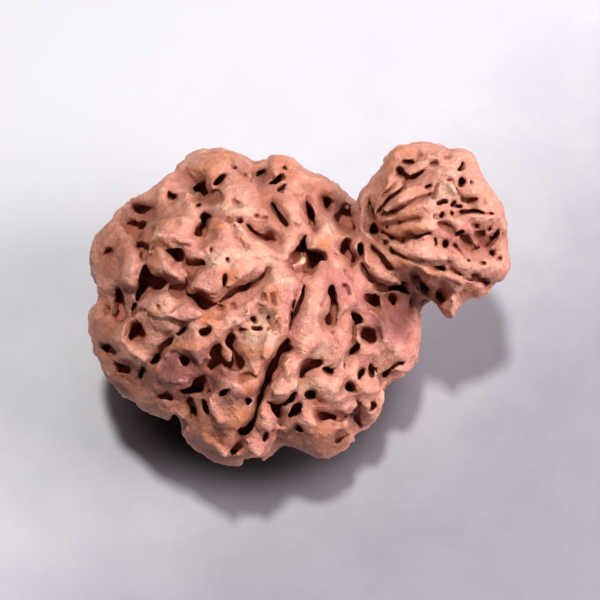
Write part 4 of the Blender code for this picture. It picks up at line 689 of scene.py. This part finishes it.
def strokes(field, table, blend, extra=0.0, deeper=1.0):
    """Marks from a table of depth and points of x, y, width, which open towards the eye."""
    rows = [(row[0], np.array(row[1:], float)) for row in table]
    placed, _ = met_by_sight(field, *np.concatenate([points for _, points in rows])[:, :2].T)
    marks = []
    start = 0
    for depth, points in rows:
        half_widths = (points[:, 2] + extra) * STEP_SIZE / 2
        own = placed[start : start + len(points)]
        marks.append(Mark(own, unit(EYE - own), half_widths, depth * deeper, blend))
        start += len(points)
    return marks


def as_stroke(depth, x, y, width, height):
    """A pit as a short stroke along its longer side."""
    narrow = min(width, height)
    run = (max(width, height) - narrow) / 2 + 0.5
    along = (run, 0) if width > height else (0, run)
    return depth, (x - along[0], y - along[1], narrow), (x + along[0], y + along[1], narrow)


# The bead, its far side
# The same shell, turned away from the eye: the face valleys run on round the back to the far pole,
# with seeded pits and short furrows between them.
FAR_SEED = 7
FAR_PITS = 400
FAR_GROOVE_DEPTH = 0.9
FAR_GROOVE_WIDTH = 1.5
FAR_GROOVE_WIDTHS = (0.7, 1.2)
FAR_GROOVE_BLEND = 0.45
FAR_GROOVE_POINTS = 9
FAR_REACH = 20
FAR_PIT_BLEND = 0.3
SMALL_PIT_SHARE = 4
OWN_BEAD_REACH = 1.12
FAR_PIT_FACING = -0.15
LARGE_GROOVE_GAP = math.radians(7)
SMALL_GROOVE_TURNS = (-0.95, -0.32, 0.32, 0.95)
SMALL_GROOVE_START = math.radians(24)
GROOVE_SWAY = 0.05
TURN_START = 0.05
TURN_RANGE = 0.3
GROOVE_END = math.radians(-78)
PIT_HALF_WIDTHS = (0.32, 0.62)
PIT_RUNS = (0.1, 0.5, 1.1)
PIT_DEPTHS = (0.7, 1.5)
PIT_SCATTER = 0.045
FURROW_DEPTH = 0.55
FURROW_SPREAD = 0.2
FURROW_SIZE = 1.3


def meridian_groove(bead, sideways, start, rng):
    """A groove down this side of a bead, from this angle above its waist to the far pole."""
    turn = np.cross(bead.axis, sideways)
    angles = np.linspace(start, GROOVE_END, FAR_GROOVE_POINTS)
    sway = np.cumsum(rng.normal(0, GROOVE_SWAY, len(angles)))
    ring = np.cos(sway)[:, None] * sideways + np.sin(sway)[:, None] * turn
    directions = np.cos(angles)[:, None] * ring + np.sin(angles)[:, None] * bead.axis
    points = cast(bead.centre + FAR_REACH * directions, -directions)
    half_widths = FAR_GROOVE_WIDTH * rng.uniform(*FAR_GROOVE_WIDTHS, len(points)) / 2
    return Mark(points, outward_of(points), half_widths, FAR_GROOVE_DEPTH, FAR_GROOVE_BLEND)


def far_marks():
    """Grooves and pits of the side turned away from the eye."""
    rng = np.random.default_rng(FAR_SEED)
    marks = []
    ends = np.array([row[-1][:2] for row in VALLEYS[1:10]], float)
    for offset in unit(seen_at(*ends.T) - LARGE.centre):
        height = offset @ LARGE.axis
        sideways = unit(offset - height * LARGE.axis)
        marks.append(meridian_groove(LARGE, sideways, math.asin(height) - LARGE_GROOVE_GAP, rng))
    behind = unit((NEAR @ SMALL.axis) * SMALL.axis - NEAR)
    across = np.cross(SMALL.axis, behind)
    for turn in SMALL_GROOVE_TURNS:
        sideways = math.cos(turn) * behind + math.sin(turn) * across
        marks.append(meridian_groove(SMALL, sideways, SMALL_GROOVE_START, rng))
    number = np.arange(FAR_PITS)
    height = 1 - 2 * (number + 0.5) / FAR_PITS
    turn = number * math.pi * (3 - math.sqrt(5))
    flat = np.sqrt(1 - height**2)
    directions = np.stack((flat * np.cos(turn), flat * np.sin(turn), height), -1)
    directions = unit(directions + rng.normal(0, PIT_SCATTER, directions.shape))
    for bead, share in ((LARGE, 1), (SMALL, SMALL_PIT_SHARE)):
        chosen = directions[::share]
        points = cast(bead.centre + FAR_REACH * chosen, -chosen)
        outward = outward_of(points)
        hidden = (unit(EYE - points) * outward).sum(-1) < FAR_PIT_FACING
        own = np.linalg.norm(points - bead.centre, axis=-1) < bead.radius * OWN_BEAD_REACH
        for point, normal in zip(points[hidden & own], outward[hidden & own]):
            half_width = rng.uniform(*PIT_HALF_WIDTHS)
            heading = unit(np.cross(normal, rng.normal(size=3)))
            run = rng.choice(PIT_RUNS) * heading
            depth = rng.uniform(*PIT_DEPTHS)
            pair = np.array((point - run, point + run))
            pair = pair - plain_form(pair)[:, None] * outward_of(pair)
            half_widths = np.full(2, half_width)
            marks.append(Mark(pair, outward_of(pair), half_widths, depth, FAR_PIT_BLEND))
    return marks


def turned_away(points):
    """How far a place is turned from the eye: 0 on the seen side, 1 on the far side."""
    large = points - LARGE.centre
    small = points - SMALL.centre
    nearer = (large**2).sum(-1) / LARGE.radius**2 < (small**2).sum(-1) / SMALL.radius**2
    facing = (unit(EYE - points) * unit(np.where(nearer[..., None], large, small))).sum(-1)
    share = np.clip((TURN_START - facing) / TURN_RANGE, 0, 1)
    return share * share * (3 - 2 * share)


# The bead, carved
# All marks are cut into the plain form, or raised from it, as a signed distance on a fine grid,
# and the surface of that grid becomes one closed mesh. It stands for the CAD bead.
NEAR_SURFACE = 2.0
COARSE_STEPS = 4
NOISE_SPREAD = 2.8
LUMPS = (0.12, 1.6, 11)
RIDGES = ((0.09, 0.85, 12), (0.06, 0.4, 14))
RIDGE_LEVEL = 0.8
FURROW_SEED = 31
WARP_REACH = 0.11
WARP_SIZE = 0.6
WARP_SEEDS = (21, 22, 23)
MARK_ROOM = 0.4
FAR_AWAY = 9.0
HOLLOW_BLEND = 1.2
VALLEY_BLEND = 0.7
FOLD_BLEND = 0.25
PIT_BLEND = 0.2
PIT_DIP_BLEND = 0.4
PIT_DIP_WIDTH = 6
PIT_DIP_SHARE = 0.15
SLIT_BLEND = 0.14
STUB_BLEND = 0.15
FLOOR_BLEND = 0.12
GRAIN = (0.022, 0.2, 13)
HALO_REACH = 0.4
MOST_SUNK = 4
MOST_CUT = 2
FINE_CREST = 0.3
WIDE_CREST = 0.8
STUB_PATCH = ((302, 260, 3.5, 3.5),)
MOST_TRIANGLES = 196000
grid_shape = tuple(np.ceil((DOMAIN_HIGH - DOMAIN_LOW) / GRID_STEP).astype(int))
grid_lines = [DOMAIN_LOW[axis] + GRID_STEP * np.arange(grid_shape[axis]) for axis in range(3)]


def smooth_noise(size, seed):
    """Seeded lumps of about this size in millimetres, by cubic B-splines on a coarse lattice."""
    cells = np.ceil((DOMAIN_HIGH - DOMAIN_LOW) / size).astype(int) + 4
    values = np.random.default_rng(seed).normal(0, NOISE_SPREAD, cells).astype(np.float32)
    for axis, count in enumerate(grid_shape):
        place = np.arange(count) * GRID_STEP / size
        low = place.astype(int)
        part = place - low
        weights = (
            (1 - part) ** 3 / 6,
            (3 * part**3 - 6 * part**2 + 4) / 6,
            (-3 * part**3 + 3 * part**2 + 3 * part + 1) / 6,
            part**3 / 6,
        )
        along = [-1 if other == axis else 1 for other in range(3)]
        values = sum(
            np.take(values, low + tap, axis) * weight.astype(np.float32).reshape(along)
            for tap, weight in enumerate(weights)
        )
    return values


def block_round(low_corner, high_corner):
    """The part of the grid between two corners."""
    low = np.maximum(np.floor((low_corner - DOMAIN_LOW) / GRID_STEP).astype(int), 0)
    high = np.ceil((high_corner - DOMAIN_LOW) / GRID_STEP).astype(int) + 1
    return tuple(slice(start, stop) for start, stop in zip(low, np.minimum(high, grid_shape)))


def places(block):
    """The grid's places in a block, in millimetres."""
    axes = [grid_lines[axis][block[axis]] for axis in range(3)]
    return np.stack(np.meshgrid(*axes, indexing="ij"), -1)


def warped_places(block, warp):
    """The grid's places in a block, each shifted a little, so that the edges of marks waver."""
    return places(block) + np.stack([part[block] for part in warp], -1)


def stretch_distance(points, mark, first):
    """Distance to one stretch of a stroke, whose cross-section is an ellipse."""
    start = mark.points[first]
    run = mark.points[first + 1] - start
    share = np.clip(((points - start) @ run) / (run @ run), 0, 1)[..., None]
    opening = unit(mark.opening[first] + share * (mark.opening[first + 1] - mark.opening[first]))
    growth = mark.half_widths[first + 1] - mark.half_widths[first]
    half_width = mark.half_widths[first] + share[..., 0] * growth
    offset = points - start - share * run
    height = (offset * opening).sum(-1)
    across_squared = np.maximum((offset**2).sum(-1) - height**2, 0)
    level = np.sqrt(across_squared / half_width**2 + height**2 / mark.depth**2)
    slope = np.sqrt(across_squared / half_width**4 + height**2 / mark.depth**4)
    return level * (level - 1) / np.maximum(slope, 1e-6)


def apply_mark(field, warp, mark, raised=False):
    """Carves a mark out of the field, or raises it, in the part of the grid round it."""
    reach = max(mark.half_widths.max(), mark.depth) + mark.blend + MARK_ROOM
    whole = block_round(mark.points.min(0) - reach, mark.points.max(0) + reach)
    gap = np.full(field[whole].shape, FAR_AWAY, np.float32)
    for first in range(len(mark.points) - 1):
        pair = mark.points[first : first + 2]
        block = block_round(pair.min(0) - reach, pair.max(0) + reach)
        points = warped_places(block, warp)
        inner = tuple(slice(b.start - w.start, b.stop - w.start) for b, w in zip(block, whole))
        gap[inner] = np.minimum(gap[inner], stretch_distance(points, mark, first))
    if raised:
        field[whole] = smooth_min(field[whole], gap, mark.blend)
    else:
        field[whole] = smooth_max(field[whole], -gap, mark.blend)


def carved_field():
    """The whole bead as a signed distance on the grid."""
    field = np.empty(grid_shape, np.float32)
    far = np.zeros(grid_shape, np.float32)
    every = slice(None, None, COARSE_STEPS)
    for layer in range(grid_shape[0]):
        rough = plain_form(places((slice(layer, layer + 1), every, every)))[0].astype(np.float32)
        rough = rough.repeat(COARSE_STEPS, 0).repeat(COARSE_STEPS, 1)
        rough = rough[: grid_shape[1], : grid_shape[2]]
        close = np.abs(rough) < NEAR_SURFACE
        points = places((slice(layer, layer + 1), slice(None), slice(None)))[0][close]
        rough[close] = plain_form(points)
        field[layer] = rough
        far[layer][close] = turned_away(points)
    height, size, seed = LUMPS
    field += height * smooth_noise(size, seed)
    for height, size, seed in RIDGES:
        field -= height * (np.abs(smooth_noise(size, seed)) - RIDGE_LEVEL)
    winding = smooth_noise(FURROW_SIZE, FURROW_SEED)
    field += FURROW_DEPTH * far * np.exp(-((winding / FURROW_SPREAD) ** 2))
    warp = [WARP_REACH * smooth_noise(WARP_SIZE, seed) for seed in WARP_SEEDS]
    pits = [as_stroke(*pit) for pit in PITS]
    broad = strokes(field, HOLLOWS, HOLLOW_BLEND) + strokes(field, VALLEYS, VALLEY_BLEND)
    for mark in broad + far_marks():
        apply_mark(field, warp, mark)
    raise_plates(field, warp)
    for mark in strokes(field, FOLDS, FOLD_BLEND):
        apply_mark(field, warp, mark, raised=True)
    for mark in strokes(field, pits, PIT_DIP_BLEND, PIT_DIP_WIDTH, PIT_DIP_SHARE):
        apply_mark(field, warp, mark)
    stub = strokes(field, STUB, STUB_BLEND)
    skin = field.copy()
    cut_openings(field, warp)
    for mark in strokes(field, pits, PIT_BLEND) + strokes(field, SLITS, SLIT_BLEND):
        apply_mark(field, warp, mark)
    for mark in stub:
        apply_mark(field, warp, mark, raised=True)
    height, size, seed = GRAIN
    field += height * smooth_noise(size, seed)
    floor = (-REST_HEIGHT - grid_lines[2]).astype(np.float32)
    return smooth_max(field, np.broadcast_to(floor, grid_shape), FLOOR_BLEND), skin


def largest_piece(faces):
    """The faces of the largest shell. It leaves out loose scraps and sealed bubbles."""
    sides = faces.shape[1]
    ends = np.stack((faces, np.roll(faces, -1, 1)), -1).reshape(-1, 2)
    edges, edge_of = np.unique(np.sort(ends, 1), axis=0, return_inverse=True)
    edge_of = edge_of.reshape(-1, sides)
    label = np.arange(len(faces))
    while True:
        low = np.full(len(edges), len(faces))
        np.minimum.at(low, edge_of.ravel(), label.repeat(sides))
        lower = low[edge_of].min(1)
        lower = lower[lower]
        if (lower == label).all():
            break
        label = lower
    names, sizes = np.unique(label, return_counts=True)
    return faces[label == names[sizes.argmax()]]


def blurred(field, reach):
    """The field with each value averaged over a box of this reach."""
    cells = max(1, round(reach / GRID_STEP))
    width = 2 * cells + 1
    for axis in range(3):
        room = [(cells + 1, cells) if side == axis else (0, 0) for side in range(3)]
        total = np.cumsum(np.pad(field, room, mode="edge"), axis=axis, dtype=np.float64)
        ahead = np.take(total, range(width, total.shape[axis]), axis)
        behind = np.take(total, range(0, total.shape[axis] - width), axis)
        field = ((ahead - behind) / width).astype(np.float32)
    return field


def sampled(field, points):
    """Values of the field at places given in millimetres."""
    place = np.clip((points - DOMAIN_LOW) / GRID_STEP, 0, np.array(grid_shape) - 1.001)
    low = place.astype(int)
    part = place - low
    total = np.zeros(len(points))
    for corner in np.ndindex(2, 2, 2):
        weight = np.prod(np.where(corner, part, 1 - part), axis=1)
        total += weight * field[tuple((low + corner).T)]
    return total


def fine_mesh(field):
    """The surface of the field as one closed mesh, in millimetres from the large bead's middle."""
    grid = openvdb.FloatGrid()
    grid.copyFromArray(field)
    points, quads = grid.convertToQuads(isovalue=0.0)
    quads = largest_piece(quads)
    used, index = np.unique(quads, return_inverse=True)
    points = points[used] * GRID_STEP + DOMAIN_LOW
    quads = index.reshape(-1, 4)
    corners = points[quads]
    if np.einsum("ij,ij->i", corners[:, 0], np.cross(corners[:, 1], corners[:, 2])).sum() < 0:
        quads = quads[:, ::-1]
    mesh = bpy.data.meshes.new("carved_bead")
    mesh.from_pydata(points, [], quads.tolist())
    bead = bpy.data.objects.new("carved_bead", mesh)
    bpy.context.scene.collection.objects.link(bead)
    thin = bead.modifiers.new("fewer triangles", "DECIMATE")
    thin.ratio = min(1, MOST_TRIANGLES / (2 * len(quads)))
    graph = bpy.context.evaluated_depsgraph_get()
    result = bpy.data.meshes.new_from_object(bead.evaluated_get(graph))
    bead.modifiers.clear()
    bead.data = result
    return bead


def patches(table, points):
    """How strongly these points lie in the soft patches of a table, on the seen side."""
    x, y = to_sight_grid(points)
    share = np.zeros(len(points))
    for middle_x, middle_y, half_width, half_height in table:
        far_off = ((x - middle_x) / half_width) ** 2 + ((y - middle_y) / half_height) ** 2
        share = np.maximum(share, np.exp(-((far_off / PATCH_SOFTNESS) ** 2)))
    facing = (unit(EYE - points) * outward_of(points)).sum(-1)
    return share * np.clip(facing / EDGE_FACING, 0, 1)


def give(mesh, name, values):
    """Stores a value for each point of the mesh under this name."""
    layer = mesh.attributes.new(name, "FLOAT", "POINT")
    layer.data.foreach_set("value", np.asarray(values, np.float32))


bead_field, skin_field = carved_field()
bead = fine_mesh(bead_field)
bead_points = np.empty(len(bead.data.vertices) * 3, np.float32)
bead.data.vertices.foreach_get("co", bead_points)
bead_points = bead_points.reshape(-1, 3).astype(float)
coloured = {
    "rubbed": RUBBED, "dusty": DUSTY, "flushed_and_shaded": FLUSHED_AND_SHADED, "browned_and_shaded": BROWNED_AND_SHADED, "shaded": SHADED,
    "stub": STUB_PATCH,
}
for name, table in coloured.items():
    give(bead.data, name, patches(table, bead_points))
cut_away = np.clip(bead_field - skin_field, 0, MOST_CUT)
give(bead.data, "sunk", np.clip(-sampled(skin_field, bead_points), -1, MOST_SUNK))
give(bead.data, "cut_near", sampled(blurred(cut_away, HALO_REACH), bead_points))
give(bead.data, "crest_fine", sampled(blurred(bead_field, FINE_CREST), bead_points))
give(bead.data, "crest_wide", sampled(blurred(bead_field, WIDE_CREST), bead_points))
to_rest = np.array((
    -(bead_points[:, 0].min() + bead_points[:, 0].max()) / 2,
    -(bead_points[:, 1].min() + bead_points[:, 1].max()) / 2,
    REST_HEIGHT,
))
bead_points += to_rest
bead_points[:, 2] = np.maximum(bead_points[:, 2], 0)
bead.data.vertices.foreach_set("co", (bead_points * MM).ravel())
bead.data.shade_smooth()
bead.data.update()


# The bead, its finish and its place in the frame
# Dried woody shell, rubbed with oil by handling: pink-brown on the open faces, orange-brown and
# slightly polished on the worn folds, pale dust in the soft hollows and darker brown in valleys
# and openings, which the light hardly reaches. Painted shade darkens the broad hollows, the rings
# round the openings, the rims turned from the light and brown and mauve patches in the shaded
# hollows, and painted highlights lighten the sharp lips.
class Shade:
    """One socket of a material. Python's arithmetic on it adds Math nodes."""

    def __init__(self, tree, socket=None):
        self.tree = tree
        self.socket = socket

    def node(self, kind, settings=None, inputs=None, output=0):
        """Adds a node: first its settings, then the values or links of its sockets."""
        made = self.tree.nodes.new(kind)
        for name, value in (settings or {}).items():
            setattr(made, name, value)
        for name, value in (inputs or {}).items():
            if isinstance(value, Shade):
                self.tree.links.new(value.socket, made.inputs[name])
            else:
                made.inputs[name].default_value = value
        return Shade(self.tree, made.outputs[output])

    def math(self, operation, *values):
        return self.node("ShaderNodeMath", {"operation": operation}, dict(enumerate(values)))

    def __add__(self, other):
        return self.math("ADD", self, other)

    def __sub__(self, other):
        return self.math("SUBTRACT", self, other)

    def __rsub__(self, other):
        return self.math("SUBTRACT", other, self)

    def __mul__(self, other):
        return self.math("MULTIPLY", self, other)

    __radd__ = __add__
    __rmul__ = __mul__

    def between(self, low, high):
        """0 below the low value, 1 above the high one, eased between."""
        return self.node(
            "ShaderNodeMapRange",
            {"interpolation_type": "SMOOTHSTEP"},
            {"Value": self, "From Min": low, "From Max": high},
        )

    def mixed(self, first, second):
        """The first colour where this is 0 and the second where it is 1."""
        return self.node(
            "ShaderNodeMix", {"data_type": "RGBA"}, {0: self, 6: first, 7: second}, output=2
        )

    def coat(self, skin, low, high, strength, colour):
        """The skin with a coat of this colour, laid where this value rises from low to high."""
        return (self.between(low, high) * strength).mixed(skin, colour)

    def noise(self, size, detail=3.0, roughness=0.55):
        """Soft noise whose lumps are about this size, in millimetres."""
        place = self.node("ShaderNodeTexCoord", output=3)
        return self.node(
            "ShaderNodeTexNoise",
            {},
            {"Vector": place, "Scale": 1 / (size * MM), "Detail": detail, "Roughness": roughness},
        )

    def value_of(self, name):
        """The value stored on the mesh under this name."""
        return self.node("ShaderNodeAttribute", {"attribute_name": name}, output=2)


def srgb(red, green, blue):
    """A colour, 0 to 255, as the shader's linear values."""
    linear = []
    for part in (red / 255, green / 255, blue / 255):
        linear.append(part / 12.92 if part <= 0.04045 else ((part + 0.055) / 1.055) ** 2.4)
    return (*linear, 1.0)


WARM_SKIN = srgb(228, 161, 135)
COOL_SKIN = srgb(220, 149, 128)
SKIN_RANGE = (0.35, 0.65)
FLUSH_AND_SHADE = srgb(196, 118, 116)
FLUSH_AND_SHADE_STRENGTH = 0.75
WORN_ORANGE = srgb(202, 118, 70)
WORN_STRENGTH = 0.85
DUST = srgb(228, 188, 158)
DUST_STRENGTH = 0.75
RIM_BROWN_AND_SHADE = srgb(176, 108, 80)
RIM_BROWN_AND_SHADE_STRENGTH = 0.75
SHADE_BROWN = srgb(112, 60, 54)
SHADE_STRENGTH = 0.9
# Coats of colour: where the value under them starts to show and is full, strength and colour.
PALE_BLOTCH = (0.5, 0.72, 0.45, srgb(238, 184, 158))
BROWN_MOTTLE = (0.44, 0.62, 0.4, srgb(186, 114, 90))
CREAM_FLECK = (0.54, 0.64, 0.4, srgb(242, 197, 171))
HOLLOW_SHADE = (0.16, -0.26, 0.6, srgb(150, 84, 64))
HALO_SHADE = (0.03, 0.38, 0.45, srgb(150, 84, 62))
LIP_WEAR_AND_HIGHLIGHT = (0.05, 0.14, 0.4, srgb(246, 196, 172))
WALL_BROWN = (0.08, 0.6, 0.8, srgb(150, 84, 62))
BOTTOM_BROWN = (1.1, 2.0, 1.0, srgb(176, 98, 74))
STUB_STRAW = (0.4, 0.7, 1.0, srgb(226, 204, 158))
DARK_SPECK = (0.62, 0.75, 0.2, srgb(140, 76, 56))
OPENING_BROWN = srgb(176, 100, 76)
OPENING_RANGE = (0.55, 1.1)
BLOTCH_RANGE = (0.35, 0.6)
PLAIN_ROUGHNESS = 0.54
GRAIN_HEIGHT = 0.0005
SPECULAR = 0.45


def shell_finish():
    material = bpy.data.materials.new("dried_shell_finish")
    material.use_nodes = True
    tree = material.node_tree
    shader = tree.nodes["Principled BSDF"]
    shade = Shade(tree)
    sunk = shade.value_of("sunk")
    broad = shade.noise(5.0)
    blotch = shade.noise(1.3)
    fleck = shade.noise(0.9, detail=4.0, roughness=0.6)
    mottle = shade.noise(0.5, detail=5.0, roughness=0.65)
    grain = shade.noise(0.22, detail=4.0, roughness=0.7)
    patchy = blotch.between(*BLOTCH_RANGE)
    skin = broad.between(*SKIN_RANGE).mixed(WARM_SKIN, COOL_SKIN)
    skin = blotch.coat(skin, *PALE_BLOTCH)
    skin = mottle.coat(skin, *BROWN_MOTTLE)
    skin = fleck.coat(skin, *CREAM_FLECK)
    # Pinkish-mauve coat: partly the shell's own flush, partly painted shade in the shaded hollows.
    skin = (shade.value_of("flushed_and_shaded") * FLUSH_AND_SHADE_STRENGTH).mixed(skin, FLUSH_AND_SHADE)
    worn = shade.value_of("rubbed") * (0.45 + 0.55 * patchy) * WORN_STRENGTH
    skin = worn.mixed(skin, WORN_ORANGE)
    skin = (shade.value_of("dusty") * patchy * DUST_STRENGTH).mixed(skin, DUST)
    # Brown coat on the rims: partly the shell's own brown, partly painted shade where the rims turn
    # from the light.
    skin = (shade.value_of("browned_and_shaded") * RIM_BROWN_AND_SHADE_STRENGTH).mixed(skin, RIM_BROWN_AND_SHADE)
    skin = (shade.value_of("shaded") * SHADE_STRENGTH).mixed(skin, SHADE_BROWN)
    # Painted shade: brown laid into the broad hollows, where the surface curves inward.
    skin = shade.value_of("crest_wide").coat(skin, *HOLLOW_SHADE)
    # Painted shade: brown laid in a ring round the cut openings.
    skin = shade.value_of("cut_near").coat(skin, *HALO_SHADE)
    # Cream on the sharp lips and crests: partly worn edges, partly painted highlight.
    skin = shade.value_of("crest_fine").coat(skin, *LIP_WEAR_AND_HIGHLIGHT)
    skin = sunk.coat(skin, *WALL_BROWN)
    deep = sunk.between(*OPENING_RANGE)
    skin = deep.mixed(skin, OPENING_BROWN)
    skin = sunk.coat(skin, *BOTTOM_BROWN)
    skin = shade.value_of("stub").coat(skin, *STUB_STRAW)
    skin = grain.coat(skin, *DARK_SPECK)
    tree.links.new(skin.socket, shader.inputs["Base Color"])
    rough = PLAIN_ROUGHNESS - 0.14 * worn + 0.25 * deep
    tree.links.new(rough.socket, shader.inputs["Roughness"])
    relief = {"Strength": 1.0, "Distance": GRAIN_HEIGHT, "Height": 0.4 * grain + 0.6 * mottle}
    bump = shade.node("ShaderNodeBump", {}, relief)
    tree.links.new(bump.socket, shader.inputs["Normal"])
    shader.inputs["Specular IOR Level"].default_value = SPECULAR
    return material


bead.data.materials.append(shell_finish())
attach(bead, "root")
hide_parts("double_bead")

# The floor
# A plain pale grey sheet under the bead, faintly mottled. It is darker towards the viewer and
# lighter towards the back left: painted light fall-off.
# It isn't part of the object. A dark patch right under the bead deepens its shadow.
FLOOR_SIZE = 2.0
NEAR_TONES = (srgb(130, 129, 135), srgb(139, 138, 144))
MIDDLE_TONES = (srgb(184, 184, 189), srgb(192, 192, 196))
FAR_TONE = srgb(192, 193, 197)
MIDDLE_RANGE = (-0.02, 0.018)
FAR_RANGE = (0.01, 0.036)
UNDER_TONE = srgb(32, 24, 23)
UNDER_RANGE = (0.0140, 0.0090)
UNDER_STRENGTH = 0.97
FLOOR_ROUGHNESS = 0.8


def floor_finish():
    material = bpy.data.materials.new("pale_floor")
    material.use_nodes = True
    tree = material.node_tree
    shader = tree.nodes["Principled BSDF"]
    shade = Shade(tree)
    tone = shade.noise(9.0, detail=6.0, roughness=0.65).between(0.3, 0.7)
    place = shade.node("ShaderNodeTexCoord", output=3)
    across = shade.node("ShaderNodeSeparateXYZ", {}, {0: place}, output=0)
    along = shade.node("ShaderNodeSeparateXYZ", {}, {0: place}, output=1)
    # Painted light fall-off: lighter towards the back left, darker towards the viewer.
    toward_window = along * 0.8 - across * 0.6
    near_colour = tone.mixed(*NEAR_TONES)
    middle_colour = tone.mixed(*MIDDLE_TONES)
    colour = toward_window.between(*MIDDLE_RANGE).mixed(near_colour, middle_colour)
    colour = toward_window.between(*FAR_RANGE).mixed(colour, FAR_TONE)
    bead_middle = (to_rest[0] * MM, to_rest[1] * MM, 0)
    ends = {0: place, 1: bead_middle}
    from_bead = shade.node("ShaderNodeVectorMath", {"operation": "DISTANCE"}, ends, output=1)
    colour = from_bead.coat(colour, *UNDER_RANGE, UNDER_STRENGTH, UNDER_TONE)
    tree.links.new(colour.socket, shader.inputs["Base Color"])
    shader.inputs["Roughness"].default_value = FLOOR_ROUGHNESS
    return material


floor_mesh = bpy.data.meshes.new("floor")
corner = FLOOR_SIZE / 2
floor_mesh.from_pydata(
    [(-corner, -corner, 0), (corner, -corner, 0), (corner, corner, 0), (-corner, corner, 0)],
    [],
    [(0, 1, 2, 3)],
)
floor = bpy.data.objects.new("floor", floor_mesh)
floor.data.materials.append(floor_finish())
bpy.context.scene.collection.objects.link(floor)


# The light
# A lamp high over the bead, a little to the left and behind, a soft pinkish one low on the right,
# and a pale sky that is brighter behind the bead and to the right.
HIGH_PLACE = (-0.03, 0.02, 0.55)
HIGH_SIZE = 0.05
HIGH_POWER = 2.98
HIGH_COLOUR = (1.0, 0.992, 0.975)
FILL_PLACE = (0.30, -0.06, 0.22)
FILL_SIZE = 0.20
FILL_POWER = 1.7
FILL_COLOUR = (1.0, 0.89, 0.96)
SKY_DARK = (0.004, 0.003, 0.003, 1)
SKY_PALE = (0.50, 0.475, 0.55, 1)


def area_light(name, place, size, power, colour):
    lamp = bpy.data.lights.new(name, "AREA")
    lamp.size = size
    lamp.energy = power
    lamp.color = colour
    holder = bpy.data.objects.new(name, lamp)
    holder.location = place
    aim = -np.array(place)
    holder.rotation_euler = (
        math.atan2(math.hypot(aim[0], aim[1]), -aim[2]),
        0,
        math.atan2(aim[1], aim[0]) - math.pi / 2,
    )
    bpy.context.scene.collection.objects.link(holder)


area_light("high_light", HIGH_PLACE, HIGH_SIZE, HIGH_POWER, HIGH_COLOUR)
area_light("right_fill", FILL_PLACE, FILL_SIZE, FILL_POWER, FILL_COLOUR)
sky = bpy.data.worlds.new("pale_sky")
sky.use_nodes = True
sky_shade = Shade(sky.node_tree)
direction = sky_shade.node("ShaderNodeTexCoord")
sideways = sky_shade.node("ShaderNodeSeparateXYZ", {}, {0: direction}, output=0)
backward = sky_shade.node("ShaderNodeSeparateXYZ", {}, {0: direction}, output=1)
upward = sky_shade.node("ShaderNodeSeparateXYZ", {}, {0: direction}, output=2)
open_side = (0.8 * sideways + 0.6 * backward).between(-0.75, 0.75)
share = upward.between(0.0, 0.95) * (0.1 + 0.9 * open_side)
glow = share.mixed(SKY_DARK, SKY_PALE)
sky.node_tree.links.new(glow.socket, sky.node_tree.nodes["Background"].inputs["Color"])
sky.node_tree.nodes["Background"].inputs["Strength"].default_value = 1.0
bpy.context.scene.world = sky
bpy.context.scene.view_settings.view_transform = "Standard"

# The camera
# It looks down at the bead from the front, from the eye of the sight grid, and takes in the grid.
SENSOR_WIDTH = 36.0
camera_data = bpy.data.cameras.new("camera")
camera_data.sensor_width = SENSOR_WIDTH
camera_data.lens = SENSOR_WIDTH * EYE_DISTANCE / (GRID_STEPS * STEP_SIZE)
camera_data.clip_start = 0.01
camera = bpy.data.objects.new("camera", camera_data)
camera.location = (EYE + to_rest) * MM
camera.rotation_euler = (math.radians(90) - SIGHT_HEIGHT, 0, 0)
bpy.context.scene.collection.objects.link(camera)
bpy.context.scene.camera = camera
